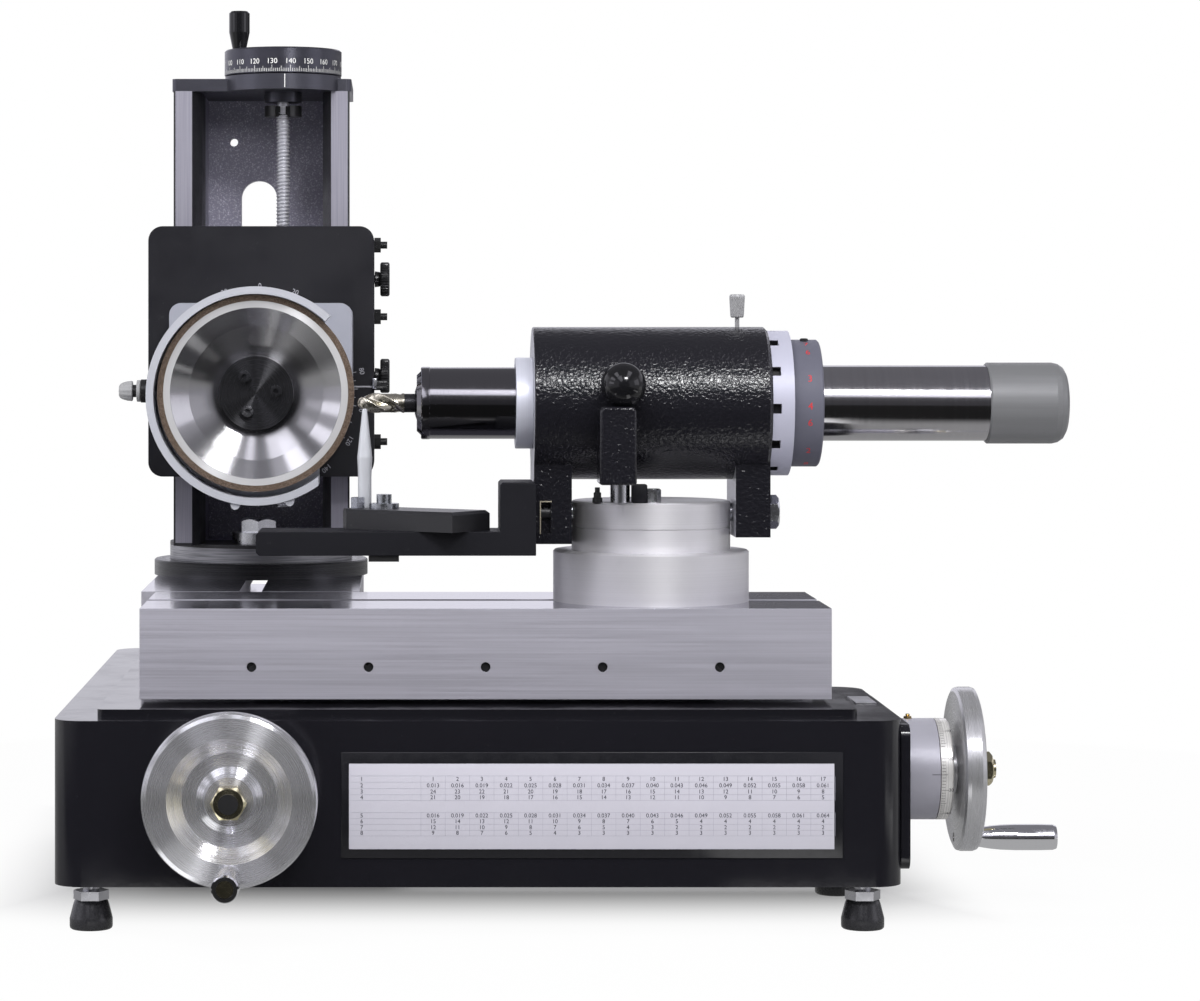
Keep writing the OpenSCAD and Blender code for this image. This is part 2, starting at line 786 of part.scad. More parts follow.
// Local Z becomes +X, local X becomes down.
module on_x(x) {
  translate([x, 0, x_screw_z]) rotate([0, 90, 0]) children();
}

// Local Z becomes -Y, local Y becomes up.
module on_y(y) {
  translate([y_screw_x, y, y_screw_z]) rotate([90, 0, 0]) children();
}

module x_lead_screw() {
  color(steel_c) at_origin() on_x(x_screw_x0)
    feed_screw(end_x - x_screw_x0, x_hub_x - x_screw_x0, x_face + 13 - x_screw_x0);
}

module x_dial() {
  color(alu_c) at_origin() on_x(x_dial_x) feed_dial();
}

module x_handwheel() {
  color(alu_c) at_origin() on_x(x_hub_x) feed_wheel(crank_r, 0);
}

module x_crank_fixings() {
  color(zinc_c) at_origin() on_x(x_hub_x) feed_fixings(crank_r, 0);
}

module x_handle() {
  color(steel_c) at_origin() on_x(x_face) translate([crank_r, 0, 0]) feed_handle();
}

module y_slide() {
  color(steel_c) at_origin() difference() {
    box(cross_x - table_y, cross_x + table_y, cross_y0, cross_y1, table_z0, top_z);
    along_y(cross_y0 - 1, cross_y1 + 1, cross_x) groove_section();
    along_y(cross_y0 - 1, cross_y1 + 1, cross_x) tee_section(cross_slot_w, top_z);
    for (i = [-1.5:1:1.5])
      rod_x(gib_screw_d / 2 + 0.05, cross_x - table_y - 1, cross_x - way_neck - gib_t, cross_mid + i * 64, neck_z + 14);
  }
}

module y_gib() {
  color(steel_c) at_origin() {
    along_y(y_way_y0 - 8, y_way_y1 + 8, cross_x) gib_section();
    for (i = [-1.5:1:1.5])
      rod_x(gib_screw_d / 2, cross_x - table_y + 2, cross_x - way_half - gib_t - 0.2, cross_mid + i * 64, neck_z + 14);
  }
}

module y_nut() {
  color(brass_c) at_origin() difference() {
    union() {
      box(y_screw_x - nut_stem / 2, y_screw_x + nut_stem / 2, cross_mid - nut_half, cross_mid + nut_half, y_screw_z, way_top + slide_gap);
      box(y_screw_x - nut_half, y_screw_x + nut_half, cross_mid - nut_half, cross_mid + nut_half, y_screw_z - nut_half, y_screw_z + nut_half);
    }
    rod_y(screw_d / 2 + fit, cross_mid - nut_half - 1, cross_mid + nut_half + 1, y_screw_x, y_screw_z);
  }
}

module swivel_base() {
  color(steel_c) at_origin() translate([cross_x, column_y, top_z]) difference() {
    union() {
      cylinder(d = swivel_d, h = swivel_t - 0.8);
      translate([0, 0, swivel_t - 0.8]) cylinder(d1 = swivel_d, d2 = swivel_d - 1.6, h = 0.8);
      cylinder(r = 16, h = swivel_t + 6);
    }
    rotate_extrude() polygon([
      [28, 2], [48, 2], [48, swivel_t - 5], [44.4, swivel_t - 5], [44.4, swivel_t + 1],
      [31.6, swivel_t + 1], [31.6, swivel_t - 5], [28, swivel_t - 5]
    ]);
  }
}

module y_lead_screw() {
  color(steel_c) at_origin() on_y(y_screw_y1)
    feed_screw(y_screw_y1 - base_y0, y_screw_y1 - y_hub_y, y_screw_y1 - y_face + 13);
}

module y_dial() {
  color(alu_c) at_origin() on_y(y_dial_y) feed_dial();
}

module y_handwheel() {
  color(alu_c) at_origin() on_y(y_hub_y) feed_wheel(0, -crank_r);
}

module y_crank_fixings() {
  color(zinc_c) at_origin() on_y(y_hub_y) feed_fixings(0, -crank_r);
}

module y_handle() {
  color(steel_c) at_origin() on_y(y_face) translate([0, -crank_r, 0]) feed_handle();
}

module column_casting() {
  w = column_w / 2;
  b = w - rail_in;
  color(black_c) at_origin() difference() {
    union() {
      rod_z(column_foot_d / 2, swivel_z1, foot_z1, cross_x, column_y);
      translate([column_x, 0, foot_z1 - 0.5]) linear_extrude(column_h + 0.5) difference() {
        polygon([
          [-w, rail_y], [w, rail_y], [w, rail_y + 4], [b, rail_y + rail_t], [b, column_y1 - 8], [b - 8, column_y1],
          [-b + 8, column_y1], [-b, column_y1 - 8], [-b, rail_y + rail_t], [-w, rail_y + 4]
        ]);
        polygon([
          [-w + rail_face, rail_y - 1], [w - rail_face, rail_y - 1], [w - rail_face, rail_y],
          [inner_half, rail_y + rail_t], [inner_half, column_y1 - column_wall],
          [-inner_half, column_y1 - column_wall], [-inner_half, rail_y + rail_t], [-w + rail_face, rail_y]
        ]);
      }
    }
    rod_z(16 + fit, swivel_z1 - 1, swivel_z1 + 6.5, cross_x, column_y);
    rod_z(bolt_r + 0.2, swivel_z1 - 1, foot_z1 + 1, cross_x, bolt_y);
    rod_y(window_r, column_y1 - column_wall - 1, column_y1 + 1, window_x, column_z1 - 71);
    box(window_x - window_r, window_x + window_r, column_y1 - column_wall - 1, column_y1 + 1, foot_z1 + 70, column_z1 - 71);
    rod_y(3, column_y1 - column_wall - 1, column_y1 + 1, column_x - 24.1, column_z1 - 30);
  }
}

module column_top_plate() {
  color(black_c) at_origin() difference() {
    union() {
      translate([0, 0, column_z1]) linear_extrude(top_plate_t)
        rrect(column_x - column_w / 2 - 1.2, column_x + column_w / 2 + 1.2, rail_y + 2, column_y1, 4);
      rod_z(z_dial_d / 2 - 0.4, column_z1, flange_z1, z_x, z_y);
      rod_z(z_collar_d / 2, column_z1 - 7.1, column_z1 + 1, z_x, z_y);
    }
    rod_z(z_screw_r + fit, column_z1 - 9, z_dial_z + 1, z_x, z_y);
  }
}

module column_bolt() {
  color(steel_c) at_origin() {
    rod_z(bolt_r, swivel_z1 - swivel_t + 2.4, foot_z1 + 9, cross_x, bolt_y);
    translate([cross_x, bolt_y, foot_z1 + 8.25]) rotate([0, 0, 30]) hex_chamfered(24, 9.7);
    difference() {
      rod_z(19, foot_z1, foot_z1 + 8.2, cross_x, bolt_y);
      rod_z(bolt_r + fit, foot_z1 - 1, foot_z1 + 9, cross_x, bolt_y);
    }
    difference() {
      rod_z(9.5, swivel_z1 - swivel_t + 2.2, swivel_z1 - 5.1, cross_x, bolt_y);
      rod_z(bolt_r + fit, swivel_z1 - swivel_t, swivel_z1, cross_x, bolt_y);
    }
  }
}

module z_lead_screw() {
  color(steel_c) at_origin() {
    rod_z(z_screw_r, foot_z1 + z_screw_end, z_dial_z1 - 4, z_x, z_y);
    difference() {
      rod_z(z_collar_d / 2, column_z1 - 9.7 - z_collar_t, column_z1 - 9.7, z_x, z_y);
      box(z_x - 5.2, z_x + 5.2, z_y - z_collar_d, z_y - z_screw_r + 0.5, column_z1 - 17, column_z1 - 9);
    }
  }
}

module z_handwheel() {
  r = z_dial_d / 2;
  color(alu_c) at_origin() {
    difference() {
      translate([z_x, z_y, 0]) rotate_extrude() polygon([
        [z_screw_r + 0.02, flange_z1 + 0.3], [15, flange_z1 + 0.3], [15, z_dial_z], [r - 0.4, z_dial_z], [r, z_dial_z + 0.4],
        [r, z_dial_z1 - 1], [r - 1, z_dial_z1], [0, z_dial_z1], [0, z_dial_z1 - 3.9], [z_screw_r + 0.02, z_dial_z1 - 3.9]
      ]);
      rod_z(2.52, z_dial_z1 - 10, z_dial_z1 + 1, z_x + z_crank[0], z_y + z_crank[1]);
    }
    rod_z(2.5, z_dial_z1 - 10, z_dial_z1 + z_handle_h - 5, z_x + z_crank[0], z_y + z_crank[1]);
  }
}

module z_handle() {
  r = z_handle_d / 2;
  h = z_handle_h;
  color(black_c) at_origin() translate([z_x + z_crank[0], z_y + z_crank[1], z_dial_z1])
    rotate_extrude() polygon([
      [2.5 + fit, 0.3], [r - 2.6, 0.3], [r - 2.3, 0.8], [r, h * 0.45], [r, h - 1.4], [r - 1.4, h],
      [0, h], [0, h - 4.5], [2.5 + fit, h - 4.5]
    ]);
}

module head_plate() {
  w = column_w / 2;
  b = w - rail_in;
  g = slide_gap;
  color(black_c) at_origin() difference() {
    union() {
      translate([0, cheek_y1, 0]) rotate([90, 0, 0]) linear_extrude(cheek_y1 - plate_y0)
        rrect(plate_x0, plate_x1, plate_z, plate_z1, plate_corner);
    }
    translate([column_x, 0, plate_z - 1]) linear_extrude(plate_h + 2) difference() {
      polygon([
        [-w - g, rail_y], [w + g + gib_t, rail_y], [w + g + gib_t, rail_y + 4], [b + g + gib_t, cheek_y1 + 0.01],
        [b + g + gib_t, cheek_y1 + 2], [-b - g, cheek_y1 + 2], [-b - g, cheek_y1 + 0.01], [-w - g, rail_y + 4]
      ]);
    }
    rod_y(15 + fit, plate_y0 - 1, plate_y0 + 20, motor_x, motor_z);
    for (z = gib_zs)
      rod_x(2.55, column_x + b, plate_x1 + 1, gib_mid_y, z);
    for (z = knob_zs)
      rod_x(3 + fit, column_x + b, plate_x1 + 1, gib_mid_y, z);
  }
  color(black_c) at_origin() nut_arm();
}

// Threaded arm of the head plate that reaches the height screw.
module nut_arm() {
  z = (plate_z + plate_z1) / 2;
  difference() {
    union() {
      box(z_x - 13, z_x + 13, rail_y, z_y, z - 20, z + 20);
      rod_z(13, z - 20, z + 20, z_x, z_y);
    }
    rod_z(z_screw_r + fit, z - 21, z + 21, z_x, z_y);
  }
}

module z_gib() {
  w = column_w / 2;
  b = w - rail_in;
  g = slide_gap;
  color(steel_c) at_origin() {
    translate([column_x, 0, plate_z + 2]) linear_extrude(plate_h - 4) polygon([
      [w + g, rail_y + 0.02], [w + g + gib_t, rail_y + 0.02], [w + g + gib_t, rail_y + 4], [b + g + gib_t, cheek_y1],
      [b + g, cheek_y1], [w + g, rail_y + 4]
    ]);
    for (z = gib_zs) {
      rod_x(2.5, column_x + w + gib_t + 0.3, plate_x1 + 9, gib_mid_y, z);
      translate([plate_x1, gib_mid_y, z]) rotate([0, 90, 0]) difference() {
        hex(9, 4.5);
        translate([0, 0, -1]) cylinder(r = 2.52, h = 7);
      }
    }
  }
}

module lock_knob(z) {
  x = plate_x1;
  color(black_c) at_origin() {
    rod_x(3, column_x + column_w / 2 + gib_t + 0.3, x + 5, gib_mid_y, z);
    rod_x(5.5, x + 0.3, x + 4.2, gib_mid_y, z);
    rod_x(knob_d / 2 - 0.6, x + 4.1, x + 4.1 + knob_l, gib_mid_y, z);
    rod_x(knob_d / 2, x + 4.7, x + 3.5 + knob_l, gib_mid_y, z);
  }
}

module lock_knob_upper() {
  lock_knob(knob_zs[0]);
}

module lock_knob_lower() {
  lock_knob(knob_zs[1]);
}

module tilt_disc() {
  color(dark_c) at_origin() {
    rod_y(tilt_d / 2, tilt_y0, plate_y0 - 0.1, motor_x, motor_z);
    rod_y(15, plate_y0 - 1, plate_y0 + 19, motor_x, motor_z);
  }
}

module motor() {
  w = motor_w / 2;
  color(alu_c) at_origin() difference() {
    union() {
      translate([motor_x, tilt_y0, motor_z]) rotate([90, 0, 0]) linear_extrude(motor_l) motor_end(w);
      rod_y(nose_r, nose_y0 - 4, motor_y0 + 1, motor_x, wheel_z);
    }
    rod_y(arbor_r + fit, nose_y0 - 5, tilt_y0 - 5, wheel_x, wheel_z);
    rod_y(36, motor_y0 + 8, tilt_y0 - 8, wheel_x, wheel_z);
  }
}

// End view of the motor: square above its axis, round below.
module motor_end(w) {
  circle(r = w);
  intersection() {
    rrect(-w, w, -w, w, 8);
    translate([-w, 0]) square([2 * w, w]);
  }
}

// Sector from the upper gap end round the left to the lower gap end, seen from the front.
module guard_sector(r, y0, y1) {
  difference() {
    rod_y(r, y0, y1, wheel_x, guard_z);
    translate([wheel_x, y1 + 1, guard_z]) rotate([90, 0, 0]) linear_extrude(y1 - y0 + 2)
      polygon([[0, 0], [2 * r, 2 * r * tan(47)], [3 * r, 0], [0.575 * r, -3 * r], [0.575 * r, 0]]);
  }
}

// Rods of radius r at the two screws under the guard.
module guard_screw_rods(r, y0, y1) {
  for (x = [-13, 22])
    rod_y(r, y0, y1, wheel_x + x, guard_z - sqrt(pow(guard_r + 1, 2) - x * x));
}

module wheel_guard() {
  color(alu_c) at_origin() {
    difference() {
      union() {
        guard_sector(guard_r, guard_y0, guard_y1 + 3);
        rod_y(nose_r + 12, guard_y1, guard_y1 + 3, wheel_x, wheel_z);
        guard_screw_rods(2.9, guard_y0 + 6, guard_y0 + 16);
      }
      rod_y(guard_r - guard_t, guard_y0 - 1, guard_y1, wheel_x, guard_z);
      rod_y(nose_r + 0.05, guard_y1 - 1, guard_y1 + 4, wheel_x, wheel_z);
      guard_screw_rods(3, guard_y0 + 1.45, guard_y0 + 6.02);
    }
    guard_screw_rods(2.9, guard_y0 + 1.5, guard_y0 + 6);
  }
}

module cable_gland() {
  x = motor_x - motor_w / 2;
  color(dark_c) at_origin() {
    rod_x(5, x - 16, x, gland_y, wheel_z);
    rod_x(7.8, x - 20.5, x - 16, gland_y, wheel_z);
    rod_x(7.2, x - 23, x - 20.5, gland_y, wheel_z);
    rod_x(4.2, x - 26, x - 23, gland_y, wheel_z);
    translate([x - 26, gland_y, wheel_z]) rotate([0, -90, 0]) cylinder(r1 = 6.8, r2 = 4, h = 9);
  }
}

module wheel_arbor() {
  color(steel_c) at_origin() difference() {
    union() {
      rod_y(arbor_r, hub_y - 4, tilt_y0 - 6, wheel_x, wheel_z);
      rod_y(nose_r - 4, seat_y, nose_y0 - 4.3, wheel_x, wheel_z);
      rod_y(35, motor_y0 + 10, tilt_y0 - 10, wheel_x, wheel_z);
    }
    hub_screw_holes(2.02, seat_y - 1, seat_y + 1.5);
  }
}

module hub_screw_holes(r, y0, y1) {
  for (a = hub_screw_as)
    rod_y(r, y0, y1, wheel_x + hub_screw_at * cos(a), wheel_z + hub_screw_at * sin(a));
}

module wheel_core() {
  y = wheel_front;
  a = arbor_r + 0.02;
  color(alu_c) at_origin() difference() {
    translate([wheel_x, 0, wheel_z]) rotate([-90, 0, 0]) rotate_extrude() polygon([
      [wheel_r, y + rim_t], [wheel_r, y + rim_t + 6], [wheel_r - 13, y + 19], [nose_r - 2, y + 25], [a, y + 25],
      [a, y + 15], [24.2, y + 15], [wheel_r - 20, y + 8], [core_r - 4.5, y], [core_r, y], [core_r, y + rim_t]
    ]);
    hub_screw_holes(2.3, hub_y - 1, seat_y + 1);
  }
}

module abrasive_rim() {
  y = wheel_front;
  color([0.5, 0.36, 0.26]) at_origin() difference() {
    rod_y(wheel_r, y, y + rim_t, wheel_x, wheel_z);
    rod_y(core_r, y - 1, y + rim_t + 1, wheel_x, wheel_z);
  }
}

module hub_flange() {
  color(black_c) at_origin() {
    difference() {
      rod_y(24, hub_y - 8, hub_y, wheel_x, wheel_z);
      rod_y(arbor_r + 0.02, hub_y - 4.2, hub_y + 1, wheel_x, wheel_z);
      hub_screw_holes(2.3, hub_y - 9, hub_y + 1);
    }
    hub_screw_holes(2, hub_y - 9, seat_y + 1.4);
    difference() {
      hub_screw_holes(3.8, hub_y - 12, hub_y - 8.05);
      for (a = hub_screw_as)
        translate([wheel_x + hub_screw_at * cos(a), hub_y - 9.6, wheel_z + hub_screw_at * sin(a)]) rotate([90, 0, 0]) hex(3.2, 4);
    }
  }
}

module swivel_disc() {
  color(dark_c) at_origin() difference() {
    union() {
      translate([ped_x, 0, ped_z1]) rotate_extrude() polygon([
        [0, 0.05], [disc_d / 2, 0.05], [disc_d / 2, 14.4], [disc_d / 2 - 0.8, 14.6], [disc_d / 2 - 0.8, 15],
        [disc_d / 2, 15.2], [disc_d / 2, disc_h - 1], [disc_d / 2 - 1, disc_h], [0, disc_h]
      ]);
      rod_z(22, ped_z1 - 5.5, ped_z1 + 1, ped_x, 0);
    }
    rod_x(pivot_d / 2 + 0.02, ped_x - disc_d / 2 - 1, ped_x - 20, 0, rock_z);
    rod_x(pivot_d / 2 + 0.02, ped_x + 20, ped_x + disc_d / 2 + 1, 0, rock_z);
    rod_z(3.02, disc_z1 - 8, disc_z1 + 1, stop_x, stop_y);
    rod_z(3.02, disc_z1 - 8, disc_z1 + 1, ped_x - 2, -38);
  }
}

module swivel_fixings() {
  color(steel_c) at_origin() {
    rod_x(pivot_d / 2, house_x0 - 1, ped_x - 20.2, 0, rock_z);
    translate([house_x0 - 0.3, 0, rock_z]) rotate([0, -90, 0]) hex_chamfered(19, 7);
    rod_x(pivot_d / 2, ped_x + 20.2, house_x1 + 1, 0, rock_z);
    translate([house_x1 + 0.3, 0, rock_z]) rotate([0, 90, 0]) hex_chamfered(19, 8);
    rod_z(6.2, disc_z1, lever_z0, stop_x, stop_y);
    rod_z(3, disc_z1 - 7.8, disc_z1 + 1, stop_x, stop_y);
    rod_z(3, disc_z1 - 7.8, disc_z1 + 1, ped_x - 2, -38);
    translate([ped_x - 2, -38, disc_z1]) hex_chamfered(10, 9);
  }
}

module workhead_housing() {
  y = leg_d / 2;
  x = house_x0;
  color(black_c) at_origin() difference() {
    union() {
      translate([x, 0, axis_z]) rotate([0, 90, 0]) rotate_extrude() polygon([
        [0, 0], [house_r - 0.6, 0], [house_r, 0.6], [house_r, house_l - 2], [house_r - 2, house_l], [0, house_l]
      ]);
      along_x(x, x + leg_in) leg_section(y, leg_z0);
      along_x(house_x1 - leg_t, house_x1) leg_section(y, leg_z0 + leg_step);
    }
    rod_x(spindle_r + fit, x + bush_in, house_x1 + 1, 0, axis_z);
    rod_x(bush_r + 0.02, x - 1, x + bush_in + 1, 0, axis_z);
    rod_x(sleeve_r + fit, sleeve_x0 - 1, house_x1 + 1, 0, axis_z);
    rod_x(pivot_d / 2 + fit, x - 1, x + leg_in + 1, 0, rock_z);
    rod_x(pivot_d / 2 + fit, house_x1 - leg_t - 1, house_x1 + 1, 0, rock_z);
    rod_z(2.5 + fit, axis_z, axis_z + house_r + 1, pin_x, 0);
    rod_x(clamp_r, x - 1, x + 14, arm_y1 - 7, arm_z1 + 10);
    leg_pocket(x + 7.6, y);
  }
}

module leg_section(y, z) {
  polygon([[-y, z], [y, z], [y, axis_z - house_r * 0.6], [-y, axis_z - house_r * 0.6]]);
}

module leg_pocket(x, y) {
  z = leg_z0 + 6.5;
  box(x - 3.2, x + 3.2, -y - 1, -y + 7, z, z + 18);
  rod_y(3.2, -y - 1, -y + 7, x, z + 18);
}

module front_bush() {
  x = house_x0;
  color(steel_c) at_origin() difference() {
    union() {
      rod_x(bush_r, x - 0.5, x + bush_in, 0, axis_z);
      rod_x(bush_r + 1.2, x - 11, x, 0, axis_z);
    }
    rod_x(nose_sr + fit, x - 12, x + bush_in + 1, 0, axis_z);
  }
}

module ball_lever() {
  x = stop_x;
  y = lever_y0;
  color(black_c) at_origin() difference() {
    union() {
      box(x - 15, x + 8, y, -28, lever_z0 + 0.3, axis_z - 1);
      translate([x + 1, y + 10, axis_z - 2]) cylinder(r = 5, h = 8);
      translate([x + 1, y + 10, axis_z + 13]) sphere(r = 13);
    }
    rod_x(house_r + 0.02, x - 20, x + 20, 0, axis_z);
  }
}

module workhead_screws() {
  y = arm_y1 - 7;
  z = arm_z1 + 10;
  color(dark_c) at_origin() {
    rod_x(clamp_r - 0.05, upright_x0 + 7, house_x0 + 13, y, z);
    rod_x(6, upright_x0 + 0.5, upright_x0 + 8, y, z);
    rod_z(clamp_r - 0.05, arm_z0 - 5.5, bar_z1 + 4, clamp_x, clamp_y);
    rod_z(4.8, bar_z1 + 3.35, bar_z1 + 9, clamp_x, clamp_y);
    difference() {
      rod_z(9.5, bar_z1, bar_z1 + 3.3, clamp_x, clamp_y);
      rod_z(clamp_r, bar_z1 - 1, bar_z1 + 4, clamp_x, clamp_y);
    }
    difference() {
      box(clamp_x - 9.5, clamp_x + 9.5, arm_y0 + 2, arm_y1 - 1, arm_z0 - 3.8, arm_z0);
      rod_z(clamp_r, arm_z0 - 5, arm_z0 + 1, clamp_x, clamp_y);
    }
  }
}

module tooth_rest_arm() {
  color(black_c) at_origin() difference() {
    along_y(arm_y0, arm_y1, 0) polygon([
      [arm_x0 + 2, arm_z0], [house_x0, arm_z0], [house_x0, arm_z1 + upright_h - 1.5],
      [house_x0 - 1.5, arm_z1 + upright_h], [upright_x0 + 1.5, arm_z1 + upright_h], [upright_x0, arm_z1 + upright_h - 1.5],
      [upright_x0, arm_z1], [arm_x0 + 2, arm_z1], [arm_x0, arm_z1 - 2], [arm_x0, arm_z0 + 2]
    ]);
    rod_x(clamp_r, upright_x0 - 1, house_x0 + 1, arm_y1 - 7, arm_z1 + 10);
    rod_x(6.4, upright_x0 - 1, upright_x0 + 8, arm_y1 - 7, arm_z1 + 10);
    rod_z(clamp_r, arm_z0 - 1, arm_z1 + 1, clamp_x, clamp_y);
  }
}

// Local X runs from the near right corner along the bar, local Y across it.
module on_bar() {
  translate([clamp_x, clamp_y, 0]) rotate([0, 0, 180 - bar_angle]) mirror([0, 1, 0]) translate([-bar_u, -bar_v, 0]) children();
}

module rest_bar() {
  c = 9;
  color(black_c) at_origin() {
    difference() {
      union() {
        on_bar() translate([0, 0, arm_z1 + 0.05]) linear_extrude(bar_t - 2.05)
          polygon([[0, 0], [bar_l - c, 0], [bar_l, c], [bar_l, bar_w], [0, bar_w]]);
        on_bar() bar_top(c);
      }
      rod_z(clamp_r, arm_z1 - 1, bar_z1 + 1, clamp_x, clamp_y);
      on_bar() translate([finger_u, finger_v, arm_z1 - 1]) cylinder(d = finger_d + 2 * fit, h = bar_t + 3);
    }
    on_bar() translate([bar_l - 8, 13.9, bar_z1 + 0.05]) hex_chamfered(8.4, 6.9);
  }
}

// Upper 2 mm of the bar, stepped in by chamfers along its long sides.
module bar_top(c) {
  intersection() {
    translate([0, bar_w, 0]) rotate([90, 0, 0]) linear_extrude(bar_w) polygon([
      [0, bar_z1 - 2], [bar_l, bar_z1 - 2], [bar_l - 2, bar_z1], [2, bar_z1]
    ]);
    rotate([90, 0, 90]) linear_extrude(bar_l) polygon([
      [0, bar_z1 - 2], [bar_w, bar_z1 - 2], [bar_w - 2, bar_z1], [2, bar_z1]
    ]);
    translate([0, 0, bar_z1 - 2]) linear_extrude(2)
      polygon([[0, 0], [bar_l - c, 0], [bar_l, c], [bar_l, bar_w], [0, bar_w]]);
  }
}

module rest_finger() {
  r = finger_d / 2;
  color(steel_c) at_origin() on_bar() translate([finger_u, finger_v, 0]) {
    rotate_extrude() polygon([
      [0, arm_z1 + 1], [r, arm_z1 + 1], [r, finger_z1 - finger_taper - 12], [r * 1.12, finger_z1 - finger_taper],
      [r * 0.36, finger_z1 - 0.5], [r * 0.24, finger_z1], [0, finger_z1]
    ]);
  }
}

module index_ring() {
  color(steel_c) at_origin() difference() {
    union() {
      rod_x(sleeve_r, sleeve_x0, number_x1 - 0.2, 0, axis_z);
      rod_x(index_d / 2, house_x1 + 0.1, number_x0, 0, axis_z);
    }
    rod_x(spindle_r + fit, sleeve_x0 - 1, number_x1 + 1, 0, axis_z);
    for (i = [0:index_n - 1])
      translate([house_x1, 0, axis_z]) rotate([i * 360 / index_n + 3.4, 0, 0])
        box(-1, 5.4, index_d / 2 - 5, index_d / 2 + 2, -3.1, 3.1);
    for (i = [0:index_n - 1])
      translate([pin_x, 0, axis_z]) rotate([i * 360 / index_n, 0, 0]) translate([0, 0, spindle_r + 1.4]) cylinder(r = 2.6, h = 8);
  }
}

module number_ring() {
  color(alu_c) at_origin() difference() {
    translate([number_x0, 0, axis_z]) rotate([0, 90, 0]) rotate_extrude() polygon([
      [sleeve_r + 0.02, 0], [number_d / 2, 0], [number_d / 2, number_w - 1], [number_d / 2 - 1, number_w],
      [sleeve_r + 0.02, number_w]
    ]);
  }
}

module index_pin() {
  z = axis_z + house_r;
  color(steel_c) at_origin() {
    rod_z(2.5, axis_z + sleeve_r + 0.4, z - 1, pin_x, 0);
    rod_z(1.5, z - 2, z + 7, pin_x, 0);
    rod_z(pin_d / 2 - 0.7, z + 6, z + 7.1, pin_x, 0);
    rod_z(pin_d / 2, z + 7, z + 20.2, pin_x, 0);
    rod_z(pin_d / 2 - 0.7, z + 20, z + 20.9, pin_x, 0);
  }
}

module spindle() {
  color(steel_c) at_origin() difference() {
    union() {
      rod_x(nose_sr, nose_x, shoulder_x + 1, 0, axis_z);
      rod_x(spindle_r, shoulder_x, spindle_x1, 0, axis_z);
      translate([nose_x - 4.8, 0, axis_z]) rotate([0, 90, 0]) cylinder(r1 = nose_sr - 5, r2 = nose_sr - 0.4, h = 4.81);
      rod_x(15, spindle_x1 - 1, spindle_x1 + end_l * 0.5, 0, axis_z);
    }
    rod_x(cutter_r + 0.02, nose_x - 6, nose_x + 30, 0, axis_z);
  }
}

module end_knob() {
  r = end_d / 2;
  color(alu_c) at_origin() translate([spindle_x1, 0, axis_z]) rotate([0, 90, 0]) rotate_extrude() polygon([
    [15.02, 0], [r - 1, 0], [r, 1], [r, end_l - 9], [r - 0.8, end_l - 5.4], [r - 2.8, end_l - 2.4],
    [r - 6, end_l - 0.6], [r - 10, end_l], [0, end_l], [0, end_l * 0.5 + 0.2], [15.02, end_l * 0.5 + 0.2]
  ]);
}

module end_mill() {
  r = cutter_r;
  color(zinc_c) at_origin() translate([cutter_tip, 0, axis_z]) rotate([0, 90, 0]) rotate_extrude() polygon([
    [0, 0], [r * 0.5, r * 0.13], [r * 0.87, r * 0.5], [r, r], [r, nose_x + 28 - cutter_tip], [0, nose_x + 28 - cutter_tip]
  ]);
}

base_casting();
base_cover();
base_end_plate();
foot_pads();
foot_studs();
x_way();
y_way();
screw_bearings();
x_table();
x_gib();
x_nut();
pedestal_base();
pedestal_bolt();
x_lead_screw();
x_dial();
x_handwheel();
x_crank_fixings();
x_handle();
y_slide();
y_gib();
y_nut();
swivel_base();
y_lead_screw();
y_dial();
y_handwheel();
y_crank_fixings();
y_handle();
column_casting();
column_top_plate();
column_bolt();
z_lead_screw();
z_handwheel();
z_handle();
head_plate();
z_gib();
lock_knob_upper();
lock_knob_lower();
tilt_disc();
motor();
wheel_guard();
cable_gland();
wheel_arbor();
wheel_core();
abrasive_rim();
hub_flange();
swivel_disc();
swivel_fixings();
workhead_housing();
front_bush();
ball_lever();
workhead_screws();
tooth_rest_arm();
index_ring();
number_ring();
index_pin();
spindle();
end_knob();
end_mill();
rest_bar();
rest_finger();
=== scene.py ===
import math
import bmesh
import bpy
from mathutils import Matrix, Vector


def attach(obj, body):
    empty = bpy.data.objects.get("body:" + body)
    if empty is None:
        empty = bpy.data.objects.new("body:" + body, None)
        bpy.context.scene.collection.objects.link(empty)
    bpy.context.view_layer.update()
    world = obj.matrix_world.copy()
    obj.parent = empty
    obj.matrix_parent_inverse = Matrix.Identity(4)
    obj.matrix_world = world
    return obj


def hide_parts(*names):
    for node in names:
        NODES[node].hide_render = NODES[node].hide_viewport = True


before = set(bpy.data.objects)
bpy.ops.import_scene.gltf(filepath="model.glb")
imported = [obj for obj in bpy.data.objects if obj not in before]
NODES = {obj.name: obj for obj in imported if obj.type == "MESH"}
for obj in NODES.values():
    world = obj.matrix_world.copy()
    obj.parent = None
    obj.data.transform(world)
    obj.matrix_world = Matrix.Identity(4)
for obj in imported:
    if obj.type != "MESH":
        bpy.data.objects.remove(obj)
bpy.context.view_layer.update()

# ---------------- places
# Measures are in mm: X to the right, Y to the back from the table's centre line, Z up from the floor. ORIGIN is where
# the frame's origin lies among them.
ORIGIN = (109.3, 74.0, 0.0)
MM = 0.001


def at(x, y, z):
    return Vector(((x - ORIGIN[0]) * MM, (y - ORIGIN[1]) * MM, (z - ORIGIN[2]) * MM))


